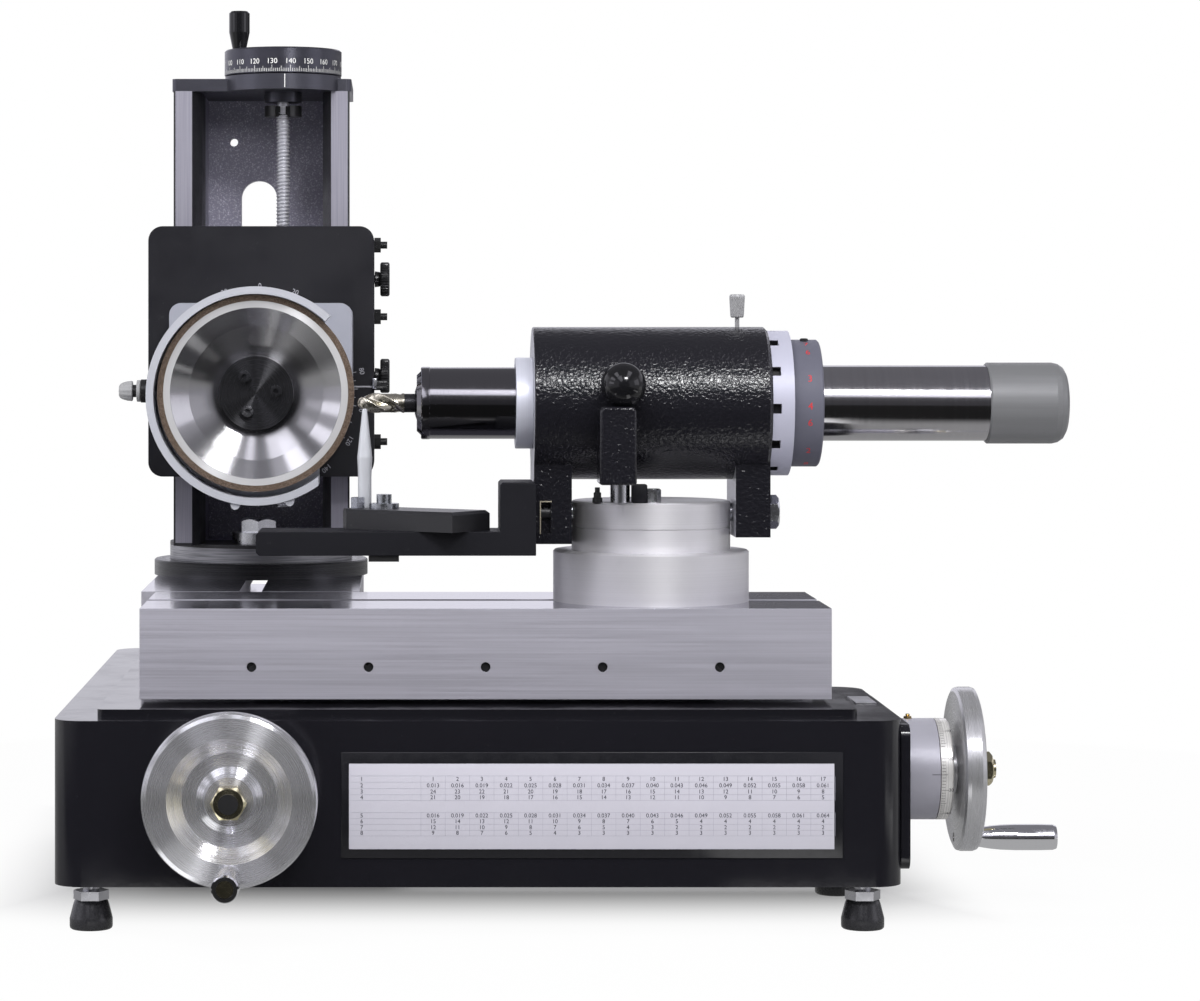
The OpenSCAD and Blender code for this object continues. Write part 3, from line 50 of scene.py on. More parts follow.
# WHEEL and Y_SCREW are (X, Z), and Z_SCREW is (X, Y).
WHEEL = (-91.8, 328.0)
SPINDLE_Z = 321.8
X_SCREW_Z = 87.2
Y_SCREW = (-100.0, 89.0)
Z_SCREW = (-80.8, 215.0)
COLUMN_X = -95.4
RAIL_Y = 200.0
RAIL_Z = 220.5
STRIP = (48.6, 60.2)  # ground strip on each rail, from the column's middle
RAIL_DEPTH = 60.0
COLUMN_HOLLOW = 44.0  # half the width of the hollow between the rails
COLUMN_FOOT = (206.0, 216.5)
TILT_CENTRE = (-95.4, 169.94, 328.5)
DIAL_R, Z_DIAL_R = 32.3, 41.1
RING_R = 40.7
FONT_TO_HEIGHT = 1.4
WHITE = (1, 1, 1, 1)
X_AXIS = (0, 0, X_SCREW_Z)
Y_AXIS = (Y_SCREW[0], 0, Y_SCREW[1])
WHEEL_AXIS = (WHEEL[0], 0, WHEEL[1])
Z_AXIS = (Z_SCREW[0], Z_SCREW[1], 0)
SPINDLE_AXIS = (0, 0, SPINDLE_Z)
PEDESTAL_AXIS = (162.2, 0, 0)
CAMERA = (0, -2240, 361)
BLACK = (0.008, 0.0078, 0.0105)


# ---------------- node helpers
MAT = {}


class Tree:
    """Adds nodes to a node tree: numbers or outputs go in, an output comes back."""

    def __init__(self, nt):
        self.nt = nt
        self.link = nt.links.new
        nt.nodes.clear()

    def add(self, kind):
        return self.nt.nodes.new("ShaderNode" + kind)

    def put(self, socket, value):
        if hasattr(value, "is_output"):
            self.link(value, socket)
        else:
            socket.default_value = value

    def math(self, op, a, b=None):
        n = self.add("Math")
        n.operation = op
        self.put(n.inputs[0], a)
        if b is not None:
            self.put(n.inputs[1], b)
        return n.outputs[0]

    def times(self, a, b):
        return self.math("MULTIPLY", a, b)

    def plus(self, a, b):
        return self.math("ADD", a, b)

    def ramp(self, fac, low, high, a=0.0, b=1.0):
        """fac from low..high becomes a..b, with soft ends."""
        n = self.add("MapRange")
        n.interpolation_type = "SMOOTHSTEP"
        for key, v in (("From Min", low), ("From Max", high), ("To Min", a), ("To Max", b)):
            n.inputs[key].default_value = v
        self.link(fac, n.inputs["Value"])
        return n.outputs[0]

    def window(self, value, centre, half, soft):
        """1 within half of centre, 0 beyond a soft edge."""
        rise = self.ramp(value, centre - half - soft, centre - half)
        return self.times(rise, self.ramp(value, centre + half, centre + half + soft, 1.0, 0.0))

    def split(self, vector):
        n = self.add("SeparateXYZ")
        self.link(vector, n.inputs[0])
        return n.outputs

    def shader_mix(self, fac, a, b):
        n = self.add("MixShader")
        for i, output in enumerate((fac, a, b)):
            self.link(output, n.inputs[i])
        return n.outputs[0]


class Graph(Tree):
    """One principled material, kept in MAT under its name."""

    def __init__(self, name):
        self.mat = MAT[name] = bpy.data.materials.new(name)
        self.mat.use_nodes = True
        super().__init__(self.mat.node_tree)
        self.bsdf = self.add("BsdfPrincipled")
        self.link(self.bsdf.outputs[0], self.add("OutputMaterial").inputs[0])
        self.coord = self.add("TexCoord").outputs["Object"]
        self.xyz = self.split(self.coord)

    def scaled(self, scale, source=None):
        n = self.add("Mapping")
        n.inputs["Scale"].default_value = scale
        self.link(source or self.coord, n.inputs["Vector"])
        return n.outputs[0]

    def noise(self, vector, scale=1.0, detail=3.0, rough=0.5, distortion=0.0):
        n = self.add("TexNoise")
        self.link(vector, n.inputs["Vector"])
        for key, v in (("Scale", scale), ("Detail", detail), ("Roughness", rough), ("Distortion", distortion)):
            n.inputs[key].default_value = v
        return n.outputs["Fac"]

    def voronoi(self, vector, scale, out="Distance"):
        n = self.add("TexVoronoi")
        self.link(vector, n.inputs["Vector"])
        n.inputs["Scale"].default_value = scale
        return n.outputs[out]

    def mix(self, fac, a, b):
        n = self.add("Mix")
        n.data_type = "RGBA"
        self.put(n.inputs[0], fac)
        for i, v in ((6, a), (7, b)):
            self.put(n.inputs[i], v if hasattr(v, "is_output") else (*v, 1.0))
        return n.outputs[2]

    def normal(self):
        return self.split(self.add("TexCoord").outputs["Normal"])

    def bump(self, height, strength, distance=0.0005, after=None):
        n = self.add("Bump")
        n.inputs["Strength"].default_value = strength
        n.inputs["Distance"].default_value = distance
        self.link(height, n.inputs["Height"])
        if after is not None:
            self.link(after, n.inputs["Normal"])
        return n.outputs[0]

    def rounded(self, width):
        """Normal that rounds hard edges over width mm."""
        n = self.add("Bevel")
        n.samples = 4
        n.inputs["Radius"].default_value = width * MM
        return n.outputs[0]

    def lathe_tangent(self, axis, amount):
        """Stretches reflections across the rings that a lathe leaves about an axis."""
        n = self.add("Tangent")
        n.direction_type = "RADIAL"
        n.axis = "XYZ"[axis]
        self.link(n.outputs[0], self.bsdf.inputs["Tangent"])
        self.bsdf.inputs["Anisotropic"].default_value = amount
        self.bsdf.inputs["Anisotropic Rotation"].default_value = 0.25

    def radius(self, axis, centre):
        """Distance, in metres, from the line through centre along the axis 0 X, 1 Y or 2 Z."""
        c = at(*centre)
        parts = [self.math("POWER", self.math("SUBTRACT", self.xyz[i], c[i]), 2.0) for i in range(3) if i != axis]
        return self.math("SQRT", self.plus(*parts))

    def surface(self, color, metallic, rough, normal, spec=0.5):
        b = self.bsdf.inputs
        for key, v in (("Base Color", color), ("Metallic", metallic), ("Roughness", rough), ("Normal", normal),
                       ("Specular IOR Level", spec)):
            self.put(b[key], (*v, 1.0) if isinstance(v, tuple) else v)


# ---------------- materials
# Colours are linear. The numbers after a noise's vector are its scale, detail and roughness.
def enamel(name, peel=0.06, rough=0.1, scale=260.0):
    """Gloss black enamel over a casting: soft waviness, faint haze and dust."""
    g = Graph(name)
    wave = g.noise(g.coord, 38.0, 2.0)
    fine = g.noise(g.coord, scale, 3.0, 0.55)
    height = g.plus(g.times(wave, 1.4), g.times(fine, 0.5))
    haze = g.noise(g.coord, 21.0, 4.0, 0.6)
    r = g.ramp(haze, 0.35, 0.75, rough, rough + 0.09)
    dust = g.ramp(g.noise(g.coord, 900.0, 2.0, 0.6), 0.68, 0.8)
    c = g.mix(g.times(dust, 0.22), BLACK, (0.09, 0.09, 0.095))
    g.surface(c, 0.0, r, g.bump(height, peel, 0.0008))


def hammered(name, strength=0.6, scale=460.0, bare_end=False):
    """Gloss black hammered enamel: small round cells break up a highlight. bare_end leaves the left face machined."""
    g = Graph(name)
    cell = g.ramp(g.noise(g.coord, scale, 2.0, 0.5, 0.4), 0.3, 0.7)
    broad = g.noise(g.coord, 60.0, 2.0)
    height = g.plus(cell, g.times(broad, 0.8))
    r = g.ramp(g.noise(g.coord, 30.0, 3.0), 0.3, 0.7, 0.08, 0.12)
    normal = g.bump(height, strength, 0.0003)
    color, metallic = BLACK, 0.0
    if bare_end:
        mask = g.math("LESS_THAN", g.normal()[0], -0.9)
        color, metallic = g.mix(mask, BLACK, (0.42, 0.42, 0.46)), g.times(mask, 0.5)
        r = g.plus(r, g.times(mask, 0.25))
    g.surface(color, metallic, r, normal)


def satin(name, color=BLACK, rough=0.36, grain=900.0, bump=0.12, scuff=0.12, spec=0.5):
    """Satin black paint or black oxide with fine grain and rubbed spots."""
    g = Graph(name)
    fine = g.noise(g.coord, grain, 3.0, 0.6)
    blotch = g.noise(g.coord, 26.0, 4.0, 0.6)
    wear = g.ramp(g.noise(g.coord, 150.0, 5.0, 0.75), 0.62, 0.78, 0.0, scuff)
    c = g.mix(wear, color, (0.16, 0.16, 0.165))
    r = g.ramp(blotch, 0.3, 0.7, rough - 0.05, rough + 0.08)
    g.surface(c, 0.0, r, g.bump(fine, bump, 0.0002), spec)


def ground(name, along=0, color=(0.58, 0.58, 0.6), rough=0.3, streak=0.35, metallic=1.0, edge=0.0, top=None):
    """Ground metal with long fine scratches along one axis. top is the roughness of a finer ground upper face."""
    g = Graph(name)
    fine = [1500.0, 1500.0, 1500.0]
    fine[along] = 9.0
    broad = [160.0, 160.0, 160.0]
    broad[along] = 2.5
    a = g.noise(g.scaled(fine), 1.0, 2.0, 0.6)
    b = g.noise(g.scaled(broad), 1.0, 4.0, 0.6)
    stain = g.noise(g.coord, 14.0, 4.0, 0.6)
    tone = g.plus(g.times(a, 0.5), g.times(b, 0.5))
    dark = tuple(v * (1 - streak) for v in color)
    c = g.mix(g.ramp(tone, 0.34, 0.66), dark, color)
    c = g.mix(g.ramp(stain, 0.45, 0.8, 0.0, 0.16), c, tuple(v * 0.7 for v in color))
    r = g.ramp(a, 0.3, 0.7, rough - 0.06, rough + 0.1)
    if top:
        up = g.math("GREATER_THAN", g.normal()[2], 0.9)
        r = g.plus(g.times(r, g.math("SUBTRACT", 1.0, up)), g.times(up, top))
        metallic = g.math("MAXIMUM", up, metallic)
    g.surface(c, metallic, r, g.bump(tone, 0.1, 0.0001, g.rounded(edge) if edge else None))


def turned(name, axis, centre, color, rough=0.26, ring=2600.0, streak=0.18, bump=0.16, metallic=1.0, stretch=0.0,
           vary=0.06, dark_end=None, pale_from=0.0):
    """Metal turned about an axis: fine rings on the faces and round the outside.

    dark_end is a colour and the X that it ends at. From the radius pale_from the metal is duller.
    """
    g = Graph(name)
    r0 = g.radius(axis, centre)
    comb = g.add("CombineXYZ")
    g.link(r0, comb.inputs[0])
    g.link(g.xyz[axis], comb.inputs[1])
    line = g.noise(g.scaled((ring, ring, 1.0), source=comb.outputs[0]), 1.0, 2.0, 0.6)
    wide = g.noise(g.scaled((ring * 0.09, ring * 0.09, 1.0), source=comb.outputs[0]), 1.0, 3.0, 0.6)
    mottle = g.noise(g.coord, 60.0, 4.0, 0.65)
    tone = g.plus(g.times(line, 0.55), g.times(wide, 0.45))
    dark = tuple(v * (1 - streak) for v in color)
    c = g.mix(g.ramp(tone, 0.35, 0.65), dark, color)
    c = g.mix(g.ramp(mottle, 0.5, 0.8, 0.0, 0.12), c, tuple(v * 0.72 for v in color))
    r = g.ramp(line, 0.3, 0.7, rough - vary, rough + vary)
    if dark_end:
        c = g.mix(g.math("LESS_THAN", g.xyz[0], at(dark_end[1], 0, 0).x), c, dark_end[0])
    if pale_from:
        pale = g.math("GREATER_THAN", r0, pale_from * MM)
        metallic = g.math("SUBTRACT", metallic, g.times(pale, metallic * 0.5))
    if stretch:
        g.lathe_tangent(axis, stretch)
    g.surface(c, metallic, r, g.bump(tone, bump, 0.00012))


def plated(name, color, rough, grain=0.06):
    """Zinc, chrome, brass or bronze: bright metal with faint haze and spots."""
    g = Graph(name)
    haze = g.noise(g.coord, 120.0, 4.0, 0.6)
    spots = g.ramp(g.noise(g.coord, 700.0, 3.0, 0.6), 0.6, 0.8)
    c = g.mix(g.times(spots, 0.25), color, tuple(v * 0.6 for v in color))
    r = g.ramp(haze, 0.3, 0.7, rough - 0.04, rough + 0.08)
    g.surface(c, 1.0, r, g.bump(haze, grain, 0.0002))


def plain(name, color, rough, bump=0.05, scale=500.0, metallic=0.0, mottle=0.15, spec=0.5):
    """Paint, plastic, rubber, card or ink: one colour with a slight grain and mottle."""
    g = Graph(name)
    n = g.noise(g.coord, scale, 3.0, 0.6)
    m = g.noise(g.coord, scale * 0.12, 3.0, 0.6)
    c = g.mix(g.ramp(m, 0.3, 0.75, 0.0, mottle), color, tuple(v * 0.55 for v in color))
    r = g.ramp(n, 0.3, 0.7, max(rough - 0.05, 0.03), rough + 0.06)
    g.surface(c, metallic, r, g.bump(n, bump, 0.0002), spec)


def column_paint():
    """Rough casting under thin black paint, with two ground strips on the rails and a machined foot edge."""
    g = Graph("column_paint")
    x, y, z = g.xyz
    # The paint, with pits and specks.
    pits = g.ramp(g.voronoi(g.coord, 520.0), 0.05, 0.4)
    height = g.plus(g.noise(g.coord, 420.0, 4.0, 0.65), g.times(pits, 0.4))
    speck = g.ramp(g.noise(g.coord, 1100.0, 2.0, 0.5), 0.66, 0.78)
    c = g.mix(g.times(speck, 0.5), (0.02, 0.02, 0.023), (0.13, 0.13, 0.14))
    r = g.ramp(g.noise(g.coord, 40.0, 3.0), 0.3, 0.7, 0.37, 0.53)
    # Where the finishes lie.
    offset = g.math("ABSOLUTE", g.math("SUBTRACT", x, at(COLUMN_X, 0, 0).x))
    strip = g.times(g.math("GREATER_THAN", offset, STRIP[0] * MM), g.math("LESS_THAN", offset, STRIP[1] * MM))
    behind = g.math("GREATER_THAN", y, at(0, RAIL_Y + RAIL_DEPTH, 0).y)
    inside = g.times(behind, g.math("LESS_THAN", offset, COLUMN_HOLLOW * MM))
    front = g.math("LESS_THAN", y, at(0, RAIL_Y + 0.2, 0).y)
    rail = g.times(g.times(strip, front), g.math("GREATER_THAN", z, RAIL_Z * MM))
    foot = g.times(g.math("LESS_THAN", z, COLUMN_FOOT[1] * MM), g.math("GREATER_THAN", z, COLUMN_FOOT[0] * MM))
    # The finishes: bare casting inside, coloured paler than its own grey as painted light in the shaded hollow, ground
    # steel on the rails and turned steel at the foot.
    sparkle = g.ramp(g.noise(g.coord, 900.0, 2.0, 0.6), 0.5, 0.75)
    # Painted light: the pale greys of the hollow stand in for light falling inside the column.
    c = g.mix(inside, c, g.mix(sparkle, (0.3, 0.29, 0.38), (0.7, 0.68, 0.78)))
    streak = g.noise(g.scaled((1500.0, 1500.0, 12.0)), 1.0, 2.0, 0.6)
    steel = g.mix(g.ramp(streak, 0.3, 0.7), (0.29, 0.282, 0.34), (0.352, 0.343, 0.405))
    lines = g.noise(g.scaled((30.0, 30.0, 1500.0)), 1.0, 2.0)
    machined = g.mix(g.ramp(lines, 0.3, 0.7), (0.18, 0.18, 0.195), (0.38, 0.38, 0.41))
    c = g.mix(foot, g.mix(rail, c, steel), machined)
    metallic = g.math("MAXIMUM", g.times(rail, 0.45), g.times(foot, 0.7))
    r = g.plus(g.times(r, g.math("SUBTRACT", 1.0, rail)), g.times(rail, 0.4))
    smooth = g.add("Mix")
    smooth.data_type = "VECTOR"
    g.link(g.math("MAXIMUM", rail, foot), smooth.inputs[0])
    g.link(g.bump(height, 0.8, 0.0004), smooth.inputs[4])
    g.link(g.add("NewGeometry").outputs["Normal"], smooth.inputs[5])
    g.surface(c, metallic, r, smooth.outputs[1])


def notched():
    """Pale index ring with painted shade: the insides of its notches are coloured near black."""
    notch_r = 46.0
    g = Graph("index_ring")
    n = g.noise(g.coord, 600.0, 3.0, 0.6)
    deep = g.math("LESS_THAN", g.radius(0, SPINDLE_AXIS), notch_r * MM)
    edge = g.math("LESS_THAN", g.math("ABSOLUTE", g.normal()[0]), 0.5)
    # Painted shade: the walls and floors of the notches, below notch_r, get a near black colour.
    c = g.mix(g.times(deep, edge), (0.4, 0.4, 0.49), (0.012, 0.012, 0.015))
    g.surface(c, 0.15, g.ramp(n, 0.3, 0.7, 0.4, 0.5), g.bump(n, 0.1, 0.0002))


def abrasive():
    """Brown grit bonded into a rim."""
    g = Graph("abrasive_grit")
    grit = g.voronoi(g.coord, 2200.0, out="Color")
    tone = g.split(grit)[0]
    dust = g.noise(g.coord, 300.0, 4.0, 0.7)
    c = g.mix(g.ramp(tone, 0.2, 0.9), (0.058, 0.038, 0.027), (0.13, 0.095, 0.072))
    c = g.mix(g.ramp(dust, 0.5, 0.75, 0.0, 0.5), c, (0.11, 0.085, 0.07))
    h = g.noise(g.coord, 2600.0, 2.0, 0.7)
    g.surface(c, 0.0, 0.85, g.bump(h, 0.9, 0.0003))


def banded(name, low, high, inner, outer, metallic=(0.0, 1.0), rough=(0.35, 0.25)):
    """The finish inner between the heights low and high, in mm, and outer below and above them."""
    g = Graph(name)
    z = g.xyz[2]
    mask = g.times(g.math("GREATER_THAN", z, low * MM), g.math("LESS_THAN", z, high * MM))
    n = g.noise(g.coord, 700.0, 3.0, 0.6)
    wear = g.ramp(g.noise(g.coord, 150.0, 5.0, 0.75), 0.62, 0.78, 0.0, 0.15)
    c = g.mix(mask, g.mix(wear, outer, (0.16, 0.16, 0.165)), g.mix(wear, inner, tuple(v * 0.6 for v in inner)))
    m = g.plus(metallic[0], g.times(mask, metallic[1] - metallic[0]))
    r = g.plus(g.ramp(n, 0.3, 0.7, rough[0] - 0.04, rough[0] + 0.05), g.times(mask, rough[1] - rough[0]))
    g.surface(c, m, r, g.bump(n, 0.15, 0.0002))


enamel("base_enamel")
satin("cover_paint", rough=0.5)
satin("satin_black", rough=0.4)
turned("flange_black", 2, Z_AXIS, (0.085, 0.085, 0.105), rough=0.36, ring=1500.0, streak=0.1,
       bump=0.05, metallic=0.7, stretch=0.5)
satin("oxide_black", color=(0.014, 0.014, 0.015), rough=0.3, grain=1400.0, bump=0.1, scuff=0.18)
satin("arm_black", color=(0.008, 0.008, 0.0105), rough=0.5, grain=700.0, bump=0.2, scuff=0.08, spec=0.2)
plain("rubber", (0.025, 0.025, 0.029), 0.26, bump=0.3, scale=700.0)
ground("ground_x", color=(0.48, 0.47, 0.535), rough=0.4, streak=0.14, metallic=0.5, edge=0.5, top=0.14)
ground("ground_y", 1, (0.52, 0.51, 0.57), rough=0.38, streak=0.14, metallic=0.5, edge=0.6, top=0.14)
plated("zinc", (0.72, 0.73, 0.75), 0.24)
plated("foot_zinc", (0.5, 0.5, 0.53), 0.3)
plated("yellow_zinc", (0.7, 0.64, 0.44), 0.2)
plated("chrome", (0.9, 0.9, 0.93), 0.08, grain=0.03)
plated("brass", (0.68, 0.5, 0.22), 0.22)
plated("bronze", (0.45, 0.3, 0.14), 0.35)
column_paint()
hammered("hammered")
hammered("housing", bare_end=True)
plain("gloss_plastic", (0.006, 0.006, 0.007), 0.06, bump=0.02, scale=200.0)
abrasive()
plain("x_collar", (0.36, 0.355, 0.41), 0.4, bump=0.1, scale=300.0, metallic=0.2, mottle=0.1)
turned("x_hand", 0, X_AXIS, (0.56, 0.56, 0.58), rough=0.3, streak=0.08, bump=0.06, metallic=0.75, stretch=0.7)
turned("y_hand", 1, Y_AXIS, (0.78, 0.78, 0.81), streak=0.05, bump=0.015, metallic=0.88, stretch=1.0, vary=0.02)
turned("x_dial", 0, X_AXIS, (0.8, 0.785, 0.77), rough=0.3, streak=0.1, bump=0.08, metallic=0.5, stretch=0.4)
turned("y_dial", 1, Y_AXIS, (0.6, 0.59, 0.57), rough=0.3, streak=0.1, bump=0.08, metallic=0.6, stretch=0.4)
turned("wheel_dish", 1, WHEEL_AXIS, (0.7, 0.695, 0.71), rough=0.25, ring=1500.0, streak=0.02, bump=0.004,
       stretch=1.0, vary=0.01, pale_from=55.2)
turned("hub_black", 1, WHEEL_AXIS, (0.07, 0.07, 0.076), ring=1500.0, streak=0.08, bump=0.03, metallic=0.9,
       stretch=1.0, vary=0.03)
turned("guard", 1, WHEEL_AXIS, (0.58, 0.59, 0.65), rough=0.34, streak=0.08, bump=0.06, metallic=0.45)
plain("motor", (0.4, 0.41, 0.475), 0.38, bump=0.1, metallic=0.4, mottle=0.12)
turned("pedestal", 2, PEDESTAL_AXIS, (0.9, 0.89, 0.91), rough=0.6, ring=1500.0, streak=0.06, bump=0.03,
       metallic=0.92, stretch=0.5, vary=0.04)
turned("swivel_base", 2, (-98.0, 260.0, 0), (0.05, 0.05, 0.055), rough=0.3, ring=1800.0, streak=0.4, bump=0.2,
       metallic=0.7)
turned("z_screw", 2, Z_AXIS, (0.58, 0.58, 0.63), rough=0.3, streak=0.1, bump=0.05, metallic=0.5)
turned("z_dial", 2, Z_AXIS, (0.09, 0.09, 0.112), rough=0.35, ring=1500.0, streak=0.1, bump=0.06,
       metallic=0.85, stretch=0.8)
turned("spindle", 0, SPINDLE_AXIS, (0.56, 0.55, 0.57), rough=0.12, ring=1600.0, streak=0.06, bump=0.03, vary=0.03,
       dark_end=((0.26, 0.255, 0.27), 150.0))
turned("bush", 0, SPINDLE_AXIS, (0.62, 0.63, 0.72), rough=0.4, ring=1600.0, streak=0.08, bump=0.06, metallic=0.4)
notched()
plain("number_ring", (0.1, 0.1, 0.13), 0.5, bump=0.08, scale=700.0, mottle=0.1, spec=0.25)
ground("end_knob", color=(0.17, 0.172, 0.18), rough=0.42, streak=0.12, metallic=0.25)
plain("grey_plastic", (0.28, 0.28, 0.29), 0.45, bump=0.1, scale=400.0)
plain("pin_grey", (0.42, 0.42, 0.43), 0.4, bump=0.3, scale=1200.0, metallic=0.6)
plated("gold", (0.74, 0.7, 0.58), 0.22, grain=0.08)
plain("dark_shank", (0.05, 0.05, 0.055), 0.3, bump=0.1, scale=900.0, metallic=0.8)
plain("finger", (0.5, 0.51, 0.55), 0.38, bump=0.06, metallic=0.25, mottle=0.1)
banded("rest_bar", 255.6, 300.0, (0.5, 0.52, 0.57), (0.014, 0.014, 0.016))
banded("arm_screws", 255.2, 273.0, (0.55, 0.57, 0.6), (0.014, 0.014, 0.015))
plain("ink_white", (0.7, 0.7, 0.69), 0.6, bump=0.02)
plain("ink_scale", (0.36, 0.36, 0.4), 0.6, bump=0.02)
plain("ink_dark", (0.02, 0.02, 0.03), 0.6, bump=0.02)
plain("ink_grey", (0.3, 0.3, 0.36), 0.6, bump=0.02)
plain("ink_red", (0.5, 0.02, 0.025), 0.5, bump=0.02)
plain("card", (0.43, 0.42, 0.475), 0.5, bump=0.03, scale=300.0, mottle=0.05)
plain("cream", (0.28, 0.25, 0.19), 0.5)
plain("panel", (0.008, 0.008, 0.01), 0.2, bump=0.02, scale=200.0)
ground("plate_silver", 1, (0.5, 0.5, 0.52), rough=0.35, streak=0.2)

# The material of each CAD node.
PAINT = {
    "base_casting": "base_enamel", "base_cover": "cover_paint", "base_end_plate": "base_enamel",
    "foot_pads": "rubber", "foot_studs": "foot_zinc", "x_way": "ground_x", "y_way": "ground_y",
    "screw_bearings": "x_collar", "x_table": "ground_x", "x_gib": "oxide_black", "x_nut": "bronze",
    "pedestal_base": "pedestal", "pedestal_bolt": "oxide_black", "x_lead_screw": "yellow_zinc", "x_dial": "x_dial",
    "x_handwheel": "x_hand", "x_crank_fixings": "yellow_zinc", "x_handle": "chrome", "y_slide": "ground_y",
    "y_gib": "oxide_black", "y_nut": "bronze", "swivel_base": "swivel_base", "y_lead_screw": "oxide_black",
    "y_dial": "y_dial", "y_handwheel": "y_hand", "y_crank_fixings": "yellow_zinc", "y_handle": "chrome",
    "column_casting": "column_paint", "column_top_plate": "flange_black", "column_bolt": "zinc",
    "z_lead_screw": "z_screw", "z_handwheel": "z_dial", "z_handle": "gloss_plastic", "head_plate": "satin_black",
    "z_gib": "oxide_black", "lock_knob_upper": "oxide_black", "lock_knob_lower": "oxide_black",
    "tilt_disc": "satin_black", "motor": "motor", "wheel_guard": "guard", "cable_gland": "grey_plastic",
    "wheel_arbor": "z_screw", "wheel_core": "wheel_dish", "abrasive_rim": "abrasive_grit", "hub_flange": "hub_black",
    "swivel_disc": "pedestal", "swivel_fixings": "zinc", "workhead_housing": "housing", "front_bush": "bush",
    "ball_lever": "arm_black", "workhead_screws": "arm_screws", "tooth_rest_arm": "arm_black",
    "index_ring": "index_ring", "number_ring": "number_ring", "index_pin": "zinc", "spindle": "spindle",
    "end_knob": "end_knob", "end_mill": "gold", "rest_bar": "rest_bar", "rest_finger": "finger",
}

# Width of the broken edge, in mm, on nodes whose edges catch light.
EDGES = {
    "base_casting": 1.6, "base_end_plate": 1.5, "column_casting": 0.8, "column_top_plate": 0.5, "head_plate": 0.8,
    "motor": 0.6, "workhead_housing": 1.2, "tooth_rest_arm": 0.5, "rest_bar": 0.35, "foot_studs": 0.3,
    "column_bolt": 0.4, "front_bush": 0.5, "swivel_fixings": 0.3, "spindle": 0.3, "index_ring": 0.3, "tilt_disc": 0.6,
    "hub_flange": 0.4, "screw_bearings": 0.5, "workhead_screws": 0.4,
}


def dress_nodes():
    """Gives every CAD node its material, and a broken edge where EDGES names one."""
    for name, node in NODES.items():
        mat = MAT[PAINT[name]]
        node.data.materials.clear()
        node.data.materials.append(mat)
        if name in EDGES:
            weld = node.modifiers.new("weld", "WELD")
            weld.merge_threshold = 0.00001
            bevel = node.modifiers.new("edge", "BEVEL")
            bevel.width = EDGES[name] * MM
            bevel.segments = 2
            bevel.limit_method = "ANGLE"
            bevel.angle_limit = math.radians(38)
            bevel.use_clamp_overlap = True
            bevel.harden_normals = False
            even = node.modifiers.new("even", "WEIGHTED_NORMAL")
            even.keep_sharp = False
            even.weight = 80


# ---------------- mesh helpers
def add_object(name, data):
    """New object with this data, in the scene."""
    o = bpy.data.objects.new(name, data)
    bpy.context.scene.collection.objects.link(o)
    return o


def flat_mesh(name, bm, mat, body):
    """Ends a piece: its mesh is kept as it is. Ink and engraved marks end here."""
    mesh = bpy.data.meshes.new(name)
    bm.to_mesh(mesh)
    bm.free()
    mesh.materials.append(MAT[mat])
    o = add_object(name, mesh)
    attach(o, body)
    return o


def finish_mesh(name, bm, mat, body, sharp=32.0):
    """Ends a solid piece: its edges above sharp degrees stay hard."""
    bmesh.ops.remove_doubles(bm, verts=bm.verts, dist=1e-7)
    bmesh.ops.recalc_face_normals(bm, faces=bm.faces)
    o = flat_mesh(name, bm, mat, body)
    o.data.shade_smooth()
    o.data.set_sharp_from_angle(angle=math.radians(sharp))
    return o


def axes(axis):
    """Unit vectors (along, first across, second across) for a signed axis such as '+x' or '-y'."""
    s = -1.0 if axis[0] == "-" else 1.0
    i = "xyz".index(axis[-1])
    along = Vector([s if k == i else 0.0 for k in range(3)])
    first = Vector((0, 0, 1)) if i != 2 else Vector((1, 0, 0))
    return along, first, along.cross(first)


def lathe_into(bm, profile, origin, axis, seg=96, ripple=None):
    """Revolves (radius, along) pairs in mm. ripple(step, radius) may change the radius, for knurls."""
    o = at(*origin)
    along, u, v = axes(axis)
    rings = []
    for r, t in profile:
        ring = []
        if r <= 1e-6:
            vert = bm.verts.new(o + along * (t * MM))
            ring = [vert] * seg
        else:
            for k in range(seg):
                a = 2 * math.pi * k / seg
                rr = ripple(k, r) if ripple else r
                out = u * math.cos(a) + v * math.sin(a)
                ring.append(bm.verts.new(o + along * (t * MM) + out * (rr * MM)))
        rings.append(ring)
    for a, b in zip(rings, rings[1:]):
        for k in range(seg):
            n = (k + 1) % seg
            quad = list(dict.fromkeys((a[k], a[n], b[n], b[k])))
            if len(quad) > 2:
                bm.faces.new(quad)


def lathe(name, profile, origin, axis, mat, body, seg=96, ripple=None):
    bm = bmesh.new()
    lathe_into(bm, profile, origin, axis, seg, ripple)
    return finish_mesh(name, bm, mat, body)


def box(name, lo, hi, mat, body, bevel):
    """Box between two corners, with its edges broken by bevel mm."""
    bm = bmesh.new()
    geo = bmesh.ops.create_cube(bm, size=1.0)
    a, b = at(*lo), at(*hi)
    mid, size = (a + b) / 2, b - a
    for v in geo["verts"]:
        v.co = Vector((mid.x + v.co.x * size.x, mid.y + v.co.y * size.y, mid.z + v.co.z * size.z))
    edges = list({e for v in geo["verts"] for e in v.link_edges})
    bmesh.ops.bevel(bm, geom=edges, offset=bevel * MM, segments=2, profile=0.5, affect="EDGES")
    return finish_mesh(name, bm, mat, body)


